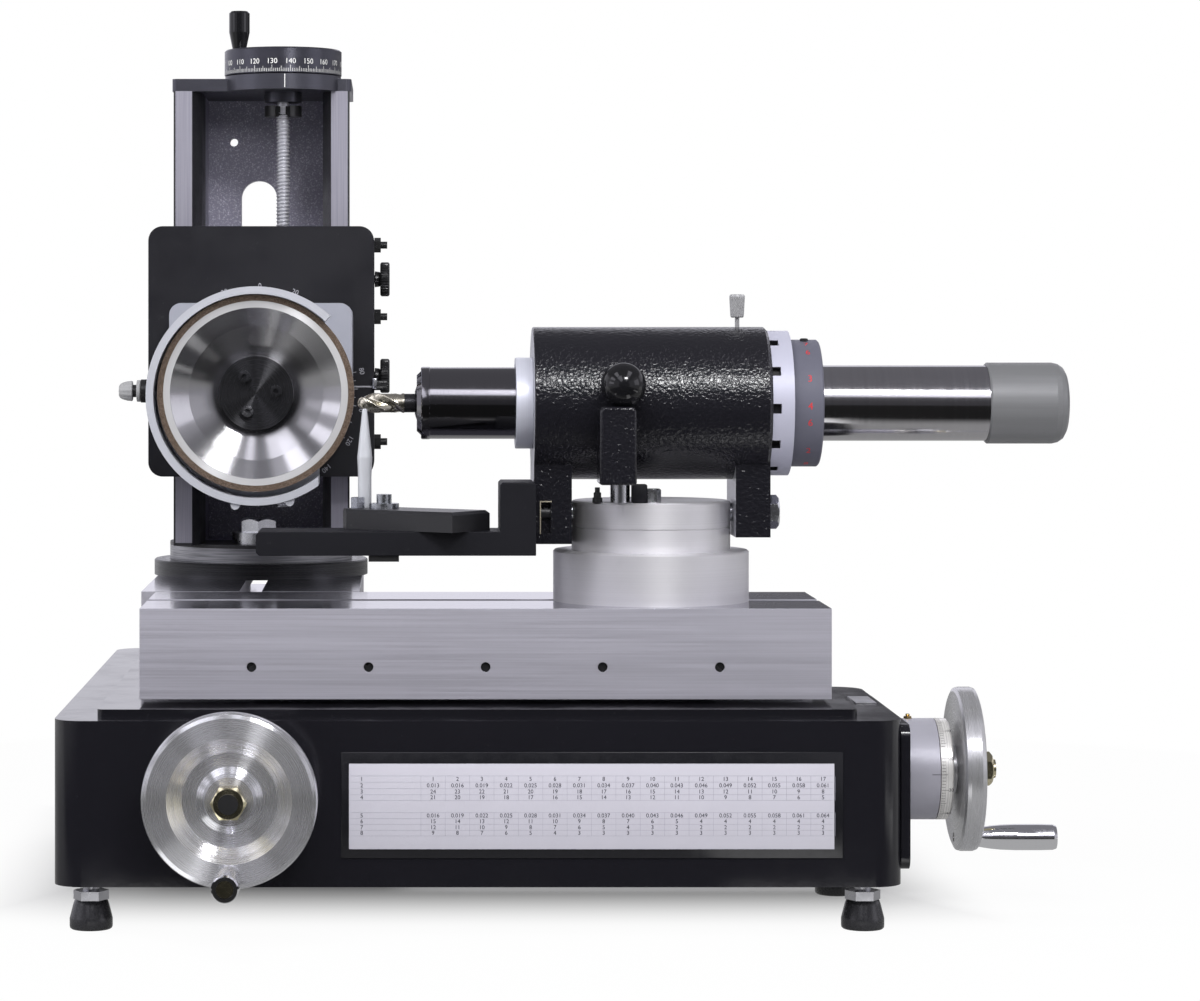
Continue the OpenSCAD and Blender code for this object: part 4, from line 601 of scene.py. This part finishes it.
def prism_into(bm, outline, origin, axis, depth):
    """Extrudes a closed outline of (across, up) mm points by depth mm along axis."""
    o = at(*origin)
    along = axes(axis)[0]
    across, up = Vector((1, 0, 0)), Vector((0, 1, 0))
    if axis[-1] != "z":
        up = Vector((0, 0, 1))
        across = up.cross(along)
    low = [bm.verts.new(o + across * (p * MM) + up * (q * MM)) for p, q in outline]
    top = [bm.verts.new(w.co + along * (depth * MM)) for w in low]
    bm.faces.new(low)
    bm.faces.new(top[::-1])
    n = len(low)
    for k in range(n):
        bm.faces.new((low[k], low[(k + 1) % n], top[(k + 1) % n], top[k]))


def text_mesh(text, size):
    """Vertices and faces of a flat line of figures, centred, size mm high."""
    curve = bpy.data.curves.new("figures", "FONT")
    curve.body = text
    curve.size = size * FONT_TO_HEIGHT * MM
    curve.align_x = "CENTER"
    curve.align_y = "CENTER"
    curve.resolution_u = 3
    o = add_object("figures", curve)
    bpy.context.view_layer.update()
    mesh = bpy.data.meshes.new_from_object(o.evaluated_get(bpy.context.evaluated_depsgraph_get()))
    verts = [v.co.copy() for v in mesh.vertices]
    faces = [list(p.vertices) for p in mesh.polygons]
    bpy.data.objects.remove(o)
    bpy.data.curves.remove(curve)
    bpy.data.meshes.remove(mesh)
    return verts, faces


def figures_into(bm, text, size, place):
    """Adds figures to bm. place(u, v) maps them, flat and in metres, onto the object."""
    verts, faces = text_mesh(text, size)
    new = [bm.verts.new(place(p.x, p.y)) for p in verts]
    for face in faces:
        bm.faces.new([new[i] for i in face])


def wrap(origin, axis, radius, angle, start, lift=0.06, turn=0.0):
    """Returns place(u, v) on a cylinder: u runs round it, v along it, after turning the figures by turn."""
    o = at(*origin)
    along, first, second = axes(axis)
    r = (radius + lift) * MM

    def place(u, v):
        uu = u * math.cos(turn) - v * math.sin(turn)
        vv = u * math.sin(turn) + v * math.cos(turn)
        a = angle + uu / r
        return o + along * (start * MM + vv) + (first * math.cos(a) + second * math.sin(a)) * r

    return place


def tick_into(bm, place, width, length):
    """Adds a bar of width by length mm that starts at place(0, 0) and runs along v."""
    w, end = width * MM / 2, length * MM
    bm.faces.new([bm.verts.new(place(u, v)) for u, v in ((-w, 0.0), (w, 0.0), (w, end), (-w, end))])


# ---------------- base details
def base_details():
    """Front panel with its card of figures, blank plate and oil nipples."""
    box("front_panel", (-34.5, -128.9, 48.7), (269.3, -127.6, 112.9), "panel", "base", 0.5)
    box("chart_card", (-29.7, -129.25, 54.2), (263.9, -128.7, 105.9), "card", "base", 0.12)
    face = -129.32

    def front(x, z, sink=0.0):
        return lambda u, v: at(x, face + sink, z) + Vector((u, 0.0, v))

    rows = [96.6, 92.7, 89.0, 85.5, 74.5, 71.0, 67.4, 64.0]
    pitch, rule = 14.74, 0.14
    columns = [21.2 + pitch * i for i in range(17)]
    bm = bmesh.new()
    for j, z in enumerate(rows):
        figures_into(bm, str(j + 1), 2.5, front(-22.0, z))
        for i, x in enumerate(columns):
            if j == 0:
                figure = str(i + 1)
            elif j in (1, 4):
                figure = f"0.{12 + 3 * i + j:03d}"
            else:
                figure = str(max(30 - i - 3 * j, 2 + j % 3))
            figures_into(bm, figure, 2.5, front(x, z))
    flat_mesh("chart_figures", bm, "ink_dark", "base")
    bm = bmesh.new()
    for z in [rows[0] + 1.9] + [r - 1.85 for r in rows[:4]] + [rows[4] + 1.8] + [r - 1.8 for r in rows[4:]]:
        tick_into(bm, front(117.1, z, 0.01), 292.0, rule)
    for x in [columns[0] - pitch / 2] + [c + pitch / 2 for c in columns]:
        for low, high in ((rows[3] - 1.8, rows[0] + 1.9), (rows[7] - 1.8, rows[4] + 1.9)):
            tick_into(bm, front(x, low, 0.01), rule, high - low)
    flat_mesh("chart_rules", bm, "ink_grey", "base")
    # Blank plate beside the raised pad.
    box("blank_plate", (290.2, -28.0, 131.5), (303.4, 14.0, 132.3), "plate_silver", "base", 0.15)
    # Oil nipples on top of the two bearing collars.
    collar_r = 32.2
    nipple = [(0, 3.2), (1.1, 3.1), (1.5, 2.4), (1.2, 1.7), (2.4, 1.5), (2.6, 0.6), (2.6, -0.6), (0, -0.6)]
    for i, (x, y, z) in enumerate(((327.0, 0.0, X_SCREW_Z), (Y_SCREW[0], -138.0, Y_SCREW[1]))):
        lathe(f"oil_nipple_{i + 1}", nipple, (x, y, z + collar_r), "+z", "brass", "base", 24)


def feet():
    """Rubber feet with a swelling body and a narrow neck under each nut."""
    profile = [(0, 0.0), (12.2, 0.0), (13.0, 0.7), (13.25, 1.8), (13.25, 6.4), (12.9, 7.8), (11.0, 15.2),
               (10.3, 17.2), (9.6, 17.9), (5.02, 17.9), (5.02, 5.0), (0, 5.0)]
    bm = bmesh.new()
    for x, y in ((-189.0, -90.0), (286.2, -90.0), (286.2, 45.0), (-189.0, 338.0), (-7.8, 338.0)):
        lathe_into(bm, profile, (x, y, 0.0), "+z", 64)
    pads = finish_mesh("foot_pads_moulded", bm, "rubber", "base", 40.0)
    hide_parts("foot_pads")


# ---------------- feed dials and wheels
def tick_length(k, lengths):
    """Length of the tick k: every tenth is longest, every fifth next."""
    return lengths[0] if k % 10 == 0 else lengths[1] if k % 5 == 0 else lengths[2]


def feed_dial_marks():
    """Ticks and figures of both feed dials, their zero marks, and the socketed screw end inside each hub nut."""
    socket = [(5.9, -1.5), (5.9, 0.0), (5.2, 0.45), (2.6, 0.45), (2.3, 0.0), (2.2, -2.2), (1.2, -3.2), (0.0, -3.6)]
    # The dial's edge and the screw's end are given from the origin. quarter turns the figures and places the zero.
    for key, origin, axis, start, end, quarter in (
        ("x", (319.0, 0.0, X_SCREW_Z), "+x", 25.0, (62.0, 0.0, 0.0), math.pi / 2),
        ("y", (Y_SCREW[0], -128.0, Y_SCREW[1]), "-y", 22.0, (0.0, -59.0, 0.0), 0.0),
    ):
        body = f"{key}_feed"
        bm = bmesh.new()
        for k in range(100):
            a = 2 * math.pi * k / 100
            tick_into(bm, wrap(origin, axis, DIAL_R, a, start + 0.25), 0.26, tick_length(k, (4.6, 3.6, 2.4)))
            if k % 10 == 0:
                figures_into(bm, str(k), 2.3, wrap(origin, axis, DIAL_R, a, start + 6.2, turn=quarter))
        flat_mesh(f"{key}_dial_marks", bm, "ink_dark", body)
        bm = bmesh.new()
        tick_into(bm, wrap(origin, axis, DIAL_R, quarter, start - 6.0), 0.4, 5.6)
        flat_mesh(f"{key}_dial_zero", bm, "ink_dark", "base")
        place = [a + b for a, b in zip(origin, end)]
        lathe(f"{key}_screw_end", socket, place, axis, "oxide_black", body, 48)


def z_dial_marks():
    """Ticks and figures of the height dial, and the zero mark on the column."""
    origin = (Z_SCREW[0], Z_SCREW[1], 547.6)
    front = -math.pi / 2
    bm = bmesh.new()
    for k in range(200):
        a = front + math.radians(1.8 * (k - 135))
        tick_into(bm, wrap(origin, "+z", Z_DIAL_R, a, 0.8), 0.3, tick_length(k, (4.4, 3.6, 2.3)))
        if k % 10 == 0:
            figures_into(bm, str(k), 3.7, wrap(origin, "+z", Z_DIAL_R, a, 7.9))
    flat_mesh("z_dial_figures", bm, "ink_white", "z_feed")
    bm = bmesh.new()
    tick_into(bm, wrap((Z_SCREW[0], Z_SCREW[1], 536.4), "+z", 40.7, front + 0.06, 0.9), 0.6, 9.3)
    flat_mesh("z_dial_zero", bm, "ink_white", "column")


# ---------------- height screw
def height_screw():
    """Screw with a real thread, 10 turns an inch."""
    pitch, r1, r0 = 2.54, 4.9, 3.7
    z0, z1 = 245.0, 522.0
    seg, per = 40, 8
    bm = bmesh.new()
    o = at(*Z_AXIS)
    rings = []
    n = int((z1 - z0) / pitch * per)
    shape = [r0, r0 + 0.15, r1 - 0.35, r1, r1, r1 - 0.35, r0 + 0.15, r0]
    for j in range(n + 1):
        z = z0 + (z1 - z0) * j / n
        ring = []
        for k in range(seg):
            a = 2 * math.pi * k / seg
            s = ((z - z0) / pitch - k / seg) % 1.0 * len(shape)
            i = int(s) % len(shape)
            r = shape[i] + (shape[(i + 1) % len(shape)] - shape[i]) * (s - int(s))
            ring.append(bm.verts.new((o.x + r * MM * math.cos(a), o.y + r * MM * math.sin(a), z * MM)))
        rings.append(ring)
    for a, b in zip(rings, rings[1:]):
        for k in range(seg):
            bm.faces.new((a[k], a[(k + 1) % seg], b[(k + 1) % seg], b[k]))
    bm.faces.new(rings[0][::-1])
    bm.faces.new(rings[-1])
    lathe_into(bm, [(0, 521.0), (4.2, 521.0), (4.2, 561.6), (0, 561.6)], Z_AXIS, "+z", 64)
    screw = finish_mesh("height_screw", bm, "z_screw", "z_feed", 40.0)
    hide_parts("z_lead_screw")
    # Slotted collar under the top plate.
    bm = bmesh.new()
    radius, slot, slot_end, steps = 13.0, 5.2, 3.75, 60
    half = math.asin(slot / radius)
    turns = [half + (2 * math.pi - 2 * half) * k / steps for k in range(steps + 1)]
    ring = [(radius * math.sin(a), -radius * math.cos(a)) for a in turns]
    prism_into(bm, ring + [(-slot, -slot_end), (slot, -slot_end)], (Z_SCREW[0], Z_SCREW[1], 519.2), "+z", 7.5)
    finish_mesh("screw_collar", bm, "oxide_black", "z_feed", 30.0)


# ---------------- wheel head
def tilt_scale():
    """Figures and ticks round the wheel head on the plate, and the pale zero mark."""
    centre = at(*TILT_CENTRE)
    tick_r, figure_r = 64.6, 71.3
    bm = bmesh.new()
    for deg in range(-160, 165, 5):
        a = math.radians(90 - deg)
        out = Vector((math.cos(a), 0.0, math.sin(a)))
        side = Vector((-out.z, 0.0, out.x))

        def place(u, v, out=out, side=side, off=tick_r):
            return centre + out * (off * MM + v) - side * u

        tick_into(bm, place, 0.4, 3.0 if deg % 10 == 0 else 1.8)
        if deg % 20 == 0:
            figures_into(bm, str(abs(deg)), 3.4, lambda u, v, place=place: place(u, v, off=figure_r))
    flat_mesh("tilt_scale_figures", bm, "ink_scale", "head")
    box("zero_mark", (-31.0, 169.5, 329.6), (-15.4, 170.1, 330.7), "ink_scale", "head", 0.05)


def gland():
    """Cable gland on the left of the motor, with a ribbed nut and domed grommet."""
    origin = (WHEEL[0] - 61.0, 110.0, WHEEL[1])
    for name, profile, mat, seg in (
        ("disc", [(0, 15.6), (7.4, 15.6), (7.85, 16.1), (7.85, 20.0), (7.4, 20.5), (0, 20.5)], "oxide_black", 64),
        ("ring", [(0, 20.45), (6.9, 20.5), (7.3, 20.9), (7.3, 22.6), (6.9, 23.0), (0, 23.0)], "grey_plastic", 64),
        ("neck", [(4.9, -0.5), (4.9, 15.8), (4.2, 16.0), (4.2, 26.5), (0, 26.5)], "oxide_black", 48),
    ):
        lathe(f"gland_{name}", profile, origin, "-x", mat, "wheel_head", seg)
    cap = [(0, 25.8), (6.4, 25.8), (6.8, 26.3), (6.5, 29.5), (5.6, 32.6), (4.6, 34.3), (3.4, 35.0), (0, 35.0)]
    body = lathe("gland_cap", cap, origin, "-x", "grey_plastic", "wheel_head", 72,
                 ripple=lambda k, r: r - (0.25 if (k // 3) % 2 and r > 4.5 else 0.0))
    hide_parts("cable_gland")


def plate_studs():
    """Knurled lock stud with a bright pin at the right edge of the head plate."""
    stud = [(0, 0.0), (2.9, 0.0), (3.3, 0.4), (3.3, 9.0), (2.9, 9.5), (0, 9.5)]
    lathe("lock_stud", stud, (-17.0, 168.0, 331.0), "+x", "oxide_black", "head", 60,
          ripple=lambda k, r: r - (0.3 if k % 2 and r > 3 else 0.0))
    box("bright_pin", (-17.6, 164.4, 328.6), (-14.6, 167.4, 336.0), "zinc", "head", 0.4)


def knobs():
    """Two knurled lock knobs with hubs."""
    hub = [(0, -12.8), (3.0, -12.8), (3.0, 0.2), (5.4, 0.3), (5.6, 0.8), (5.2, 3.6), (4.6, 4.1), (0, 4.1)]
    grip = [(0, 4.1), (10.8, 4.1), (11.6, 4.6), (12.0, 5.2), (12.0, 9.6), (11.6, 10.2), (10.8, 10.7), (3.0, 10.7),
            (2.6, 10.0), (0, 10.0)]
    for name, z in (("upper", 405.0), ("lower", 337.2)):
        origin = (-16.6, 211.0, z)
        bm = bmesh.new()
        lathe_into(bm, hub, origin, "+x", 48)
        lathe_into(bm, grip, origin, "+x", 144, ripple=lambda k, r: r - (0.55 if k % 4 < 2 and r > 11.5 else 0.0))
        o = finish_mesh(f"lock_knob_{name}_knurled", bm, "oxide_black", f"knob_{name}", 25.0)
        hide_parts(f"lock_knob_{name}")


# ---------------- work head
def number_ring_marks():
    """Red figures round the number ring, and its screw."""
    origin = (249.7, 0.0, SPINDLE_Z)
    bm = bmesh.new()
    # Figures as they follow on the ring. The angle is measured from the top towards the front; 90 is the front.
    degrees = (22, 37, 67, 92, 107, 137, 160, 190, 215, 240, 265, 290, 315, 340)
    for label, deg in zip("76346285931482", degrees):
        figures_into(bm, label, 4.6, wrap(origin, "+x", RING_R, math.radians(deg), 10.4, turn=math.pi / 2))
    flat_mesh("ring_figures", bm, "ink_red", "indexer")
    screw = [(0, 41.6), (1.6, 41.6), (2.6, 41.2), (2.6, 39.0), (0, 39.0)]
    lathe("ring_screw", screw, (259.5, -8.0, SPINDLE_Z), "+z", "oxide_black", "indexer", 32)


def ball():
    """Tapered lever with a glossy ball, in place of the plain lever."""
    x, y, bevel = 140.2, -75.8, 1.6
    bm = bmesh.new()
    outline = [(-8, 272.1), (15, 272.1), (15, 318.4), (12.6, 320.8), (-5.6, 320.8), (-8, 318.4)]
    prism_into(bm, outline, (x, y, 0), "+y", 36.0)
    lever = finish_mesh("lever_body", bm, "hammered", "work_head", 30.0)
    mod = lever.modifiers.new("edge", "BEVEL")
    mod.width = bevel * MM
    mod.segments = 3
    mod.limit_method = "ANGLE"
    radius, steps = 14.1, 32
    arc = [math.radians(-70 + 160 * k / steps) for k in range(steps + 1)]
    profile = [(0, -14.5), (4.6, -14.5), (4.2, -12.8)]
    profile += [(radius * math.cos(a), radius * math.sin(a)) for a in arc] + [(0, radius)]
    lathe("lever_ball", profile, (x + 0.3, -66.0, 334.2), "+z", "gloss_plastic", "work_head", 96)
    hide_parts("ball_lever")


def index_pin():
    """Index plunger with a knurled tapered head."""
    origin = (217.6, 0.0, SPINDLE_Z + 48.85)
    pin = [(0, -18.4), (2.5, -18.4), (2.5, -1.0), (1.45, -0.8), (1.45, 6.4), (0, 6.4)]
    head = [(0, 6.0), (3.6, 6.0), (4.2, 6.6), (4.4, 8.0), (4.95, 18.6), (5.0, 19.6), (4.6, 20.6), (3.8, 20.9),
            (0, 20.9)]
    bm = bmesh.new()
    lathe_into(bm, pin, origin, "+z", 32)
    lathe_into(bm, head, origin, "+z", 96, ripple=lambda k, r: r - (0.28 if k % 4 < 2 and r > 4.3 else 0.0))
    o = finish_mesh("index_plunger", bm, "pin_grey", "pin", 28.0)
    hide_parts("index_pin")


def cutter():
    """Two-flute ball-nosed end mill with a coated cutting end and a dark shank."""
    tip, r = -25.98, 6.35
    o = at(0, 0, SPINDLE_Z)
    seg, steps = 72, 110
    length, twist = 30.0, math.radians(205)
    # Shares of a half turn where the land and the flute end, and how deep flute and back are cut.
    land, heel, depth, relief = 0.08, 0.62, 0.62, 0.05
    bm = bmesh.new()
    rings = []
    for j in range(steps + 1):
        t = length * (j / steps) ** 1.25
        cap = math.sqrt(max(r * r - max(r - t, 0.0) ** 2, 0.0)) if t < r else r
        fade = min(max((length - 1.0 - t) / 7.0, 0.0), 1.0)
        ring = []
        for k in range(seg):
            a = 2 * math.pi * k / seg
            local = (a - twist * t / length) % math.pi / math.pi
            if local < land:
                f = 1.0
            elif local < heel:
                f = 1.0 - depth * math.sin((local - land) / (heel - land) * math.pi) ** 0.8 * fade
            else:
                f = 1.0 - relief * fade
            rr = max(cap * f, 0.02)
            ring.append(bm.verts.new((o.x + (tip + t) * MM, o.y + rr * MM * math.cos(a), o.z + rr * MM * math.sin(a))))
        rings.append(ring)
    for a, b in zip(rings, rings[1:]):
        for k in range(seg):
            bm.faces.new((a[k], a[(k + 1) % seg], b[(k + 1) % seg], b[k]))
    bm.faces.new(rings[0])
    bm.faces.new(rings[-1][::-1])
    flutes = finish_mesh("cutter_flutes", bm, "gold", "spindle_unit", 50.0)
    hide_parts("end_mill")
    shank = [(0, 29.0), (6.0, 29.0), (6.0, 39.5), (5.6, 39.5), (5.6, 66.0), (0, 66.0)]
    lathe("cutter_shank", shank, (tip, 0, SPINDLE_Z), "+x", "dark_shank", "spindle_unit", 48)
    # The spindle's nose: the collet's cone and the lip round it.
    cone = [(6.3, 0.8), (6.7, 0.1), (7.4, 0.0), (16.6, 2.9), (17.4, 3.3), (17.7, 4.3)]
    lathe("collet_face", cone, (10.8, 0, SPINDLE_Z), "+x", "spindle", "spindle_unit", 96)
    lip = [(17.4, 0.2), (22.5, 0.0), (23.1, 0.35), (23.28, 1.0), (23.28, 5.4), (23.0, 5.6), (17.4, 5.6), (17.4, 0.2)]
    lathe("nose_lip", lip, (14.7, 0, SPINDLE_Z), "+x", "spindle", "spindle_unit", 96)


def small_fittings():
    """Trim round the work head."""
    # Stud and block on the swivel disc beside the stop pin, under the housing.
    top = 259.5
    bm = bmesh.new()
    stud = [(0, 0), (3.2, 0), (3.2, 3.0), (2.4, 3.4), (2.4, 6.2), (1.6, 6.6), (1.6, 9.6), (0, 9.6)]
    lathe_into(bm, stud, (126.0, -34.0, top), "+z", 32)
    finish_mesh("stop_stud", bm, "oxide_black", "work_swivel")
    box("stop_block", (147.4, -43.0, top), (157.0, -31.5, 271.2), "arm_black", "work_swivel", 0.8)
    # Pale edges of the pocket in the left leg.
    x, z = 93.7, 239.5
    for i, (x0, z0, x1, z1) in enumerate(((-3.9, 0.0, -3.2, 20.0), (-3.9, 20.0, 3.6, 20.8))):
        box(f"pocket_edge_{i + 1}", (x + x0, -30.25, z + z0), (x + x1, -29.6, z + z1), "cream", "work_head", 0.1)


# ---------------- stage
# Pale sheets on the floor before the machine that only reflections see: place across, half width, strength, front and
# back end. The stage's values are in metres in the frame.
FLOOR_SHEETS = [
    (-0.283, 0.025, 1.4, -0.38, -0.25), (0.163, 0.045, 1.3, -0.38, -0.25), (0.7, 0.08, 1.3, -0.6, -0.25),
]
# Soft boxes that only reflections see: direction about the line of sight in degrees from straight up, half width,
# strength, and how far forward they reach, from and to, as the y of the direction.
SOFT_BOXES = [
    (-80, 3, 1.5, -0.55, -0.15), (-60, 4, 1.7, -0.55, -0.15), (-34, 6, 2.0, -0.55, -0.15), (26, 7, 1.9, -0.55, -0.15),
    (2, 2.5, 2.6, -0.88, -0.74),
    (78, 10, 1.0, -0.55, -0.15), (-30, 13, 1.6, -0.9, -0.62), (24, 7, 1.6, -0.9, -0.62),
]


def world_light():
    """White for the camera. Reflections get a studio: a white backdrop, a dark room in front, and soft boxes."""
    w = bpy.data.worlds.new("studio")
    bpy.context.scene.world = w
    w.use_nodes = True
    t = Tree(w.node_tree)
    x, y, z = t.split(t.add("TexCoord").outputs["Generated"])
    # Behind the machine: a white backdrop up to a certain height, dim above it.
    back = t.times(t.ramp(y, -0.12, 0.2), t.ramp(z, 0.42, 0.56, 0.95, 0.2))
    # A dark thing low behind it to the right, which the top of the base mirrors.
    corner = t.times(t.ramp(x, 0.06, 0.1, 0.0, 0.9), t.ramp(z, 0.13, 0.2, 1.0, 0.0))
    back = t.times(back, t.math("SUBTRACT", 1.0, corner))
    side = t.math("MAXIMUM", t.ramp(x, 0.72, 0.95, 0.0, 0.4), t.ramp(x, -0.95, -0.72, 0.65, 0.0))
    side = t.times(side, t.ramp(z, 0.5, 0.7, 1.0, 0.3))
    # Before it: a dim room, one wide soft box above the camera and smaller ones about the line of sight.
    turn = t.math("ARCTAN2", x, z)
    front = t.ramp(y, -0.1, 0.0, 1.0, 0.0)
    lit = t.times(t.times(t.window(z, 0.58, 0.06, 0.04), t.window(turn, 0.0, 0.55, 0.12)), 0.3)
    for centre, half, power, low, high in SOFT_BOXES:
        sector = t.times(t.window(turn, math.radians(centre), math.radians(half), 0.05), power)
        lit = t.plus(lit, t.times(sector, t.window(y, (low + high) / 2, (high - low) / 2, 0.04)))
    flank = t.times(t.ramp(t.math("ABSOLUTE", turn), 0.8, 1.2, 0.0, 0.36), t.window(y, -0.5, 0.36, 0.06))
    lit = t.plus(lit, flank)
    room = t.plus(t.ramp(z, 0.05, 0.6, 0.07, 0.2), t.times(lit, front))
    total = t.math("MAXIMUM", room, t.math("MAXIMUM", back, side))
    glossy, fill, white = (t.add("Background") for _ in range(3))
    glossy.inputs["Color"].default_value = (0.965, 0.955, 1.05, 1)
    t.link(total, glossy.inputs["Strength"])
    fill.inputs["Strength"].default_value = 0.34
    for n in (fill, white):
        n.inputs["Color"].default_value = WHITE
    path = t.add("LightPath").outputs
    light = t.shader_mix(path["Is Glossy Ray"], fill.outputs[0], glossy.outputs[0])
    t.link(t.shader_mix(path["Is Camera Ray"], light, white.outputs[0]), t.add("OutputWorld").inputs[0])


def lamp(name, place, target, size, watts, size_y=None, glossy=False):
    """Area lamp at place, turned to target. Reflections see it only where glossy is set."""
    data = bpy.data.lights.new(name, "AREA")
    data.energy = watts
    data.shape = "RECTANGLE"
    data.size = size
    data.size_y = size_y or size
    o = add_object(name, data)
    o.location = place
    o.rotation_euler = (Vector(target) - Vector(place)).to_track_quat("-Z", "Y").to_euler()
    o.visible_glossy = glossy


def stage():
    """Floor, world and lamps."""
    mat = bpy.data.materials.new("pale_floor")
    mat.use_nodes = True
    t = Tree(mat.node_tree)
    path = t.add("LightPath").outputs
    diffuse, glow, seen = t.add("BsdfDiffuse"), t.add("Emission"), t.add("Emission")
    diffuse.inputs["Color"].default_value = (0.6, 0.6, 0.61, 1)
    glow.inputs["Color"].default_value = WHITE
    x, y, _ = t.split(t.add("TexCoord").outputs["Object"])

    # The camera sees the shadow under the machine fade to the white of the studio outside it.
    beside = t.ramp(t.math("ABSOLUTE", t.plus(x, 0.061)), 0.24, 0.34, 0.0, 0.95)
    before = t.ramp(y, -0.17, 0.03, 0.97, 0.05)
    behind = t.ramp(y, 0.3, 0.42, 0.0, 0.95)
    across = t.math("POWER", x, 2.0)
    along = t.math("POWER", y, 2.0)
    far = t.ramp(t.plus(across, along), 0.16, 1.0)
    away = t.math("MAXIMUM", far, t.math("MAXIMUM", beside, t.math("MAXIMUM", before, behind)))
    cam = t.times(away, path["Is Camera Ray"])
    shown = t.shader_mix(cam, diffuse.outputs[0], glow.outputs[0])
    # What glossy surfaces see of it: bright near the machine and behind it, dark towards the camera.
    near = t.ramp(y, -0.42, -0.2, 0.02, 0.4)
    near = t.plus(near, t.ramp(t.math("ABSOLUTE", x), 0.8, 1.5, 0.0, 0.36))
    for place, half, power, end, start in FLOOR_SHEETS:
        sheet = t.ramp(t.math("ABSOLUTE", t.math("SUBTRACT", x, place)), half, half + 0.02, power, 0.0)
        reach = t.times(t.ramp(y, start, start + 0.05, 1.0, 0.0), t.ramp(y, end - 0.04, end, 0.0, 1.0))
        near = t.plus(near, t.times(sheet, reach))
    t.link(near, seen.inputs["Strength"])
    last = t.shader_mix(path["Is Glossy Ray"], shown, seen.outputs[0])
    t.link(last, t.add("OutputMaterial").inputs[0])
    bm = bmesh.new()
    bmesh.ops.create_circle(bm, cap_ends=True, segments=64, radius=4.0)
    mesh = bpy.data.meshes.new("floor")
    bm.to_mesh(mesh)
    bm.free()
    mesh.materials.append(mat)
    floor = add_object("floor", mesh)
    world_light()
    lamp("key_top", (-0.5, -1.1, 1.7), (0.0, 0.0, 0.25), size=1.3, watts=30, size_y=0.7)
    lamp("front_strip", (0.15, -1.9, 0.95), (0.05, 0.0, 0.3), size=1.6, watts=10, size_y=0.28)
    lamp("fill_right", (1.8, -0.5, 0.9), (0.0, 0.0, 0.25), size=0.9, watts=9)
    lamp("fill_left", (-1.8, -0.3, 0.7), (-0.2, 0.0, 0.25), size=0.9, watts=10)
    lamp("hot_strip", (0.32, -1.5, 1.33), (0.08, 0.0, 0.3), size=0.4, watts=10, size_y=0.28, glossy=True)
    lamp("back_top", (0.2, 1.5, 1.5), (0.0, 0.1, 0.3), size=1.4, watts=20, size_y=0.6)


def camera():
    """The photo's camera: level, before the table, with its frame shifted."""
    data = bpy.data.cameras.new("camera")
    data.sensor_width = 36.0
    data.sensor_fit = "HORIZONTAL"
    data.lens = 104.7
    data.shift_x = 0.1683
    data.shift_y = -0.1321
    data.clip_start = 0.05
    data.clip_end = 50
    o = add_object("camera", data)
    o.location = at(*CAMERA)
    o.rotation_euler = (math.radians(90), 0, 0)
    bpy.context.scene.camera = o


camera()
dress_nodes()
base_details()
feet()
feed_dial_marks()
z_dial_marks()
height_screw()
tilt_scale()
gland()
plate_studs()
knobs()
number_ring_marks()
ball()
index_pin()
cutter()
small_fittings()
stage()
bpy.context.scene.view_settings.view_transform = "Standard"
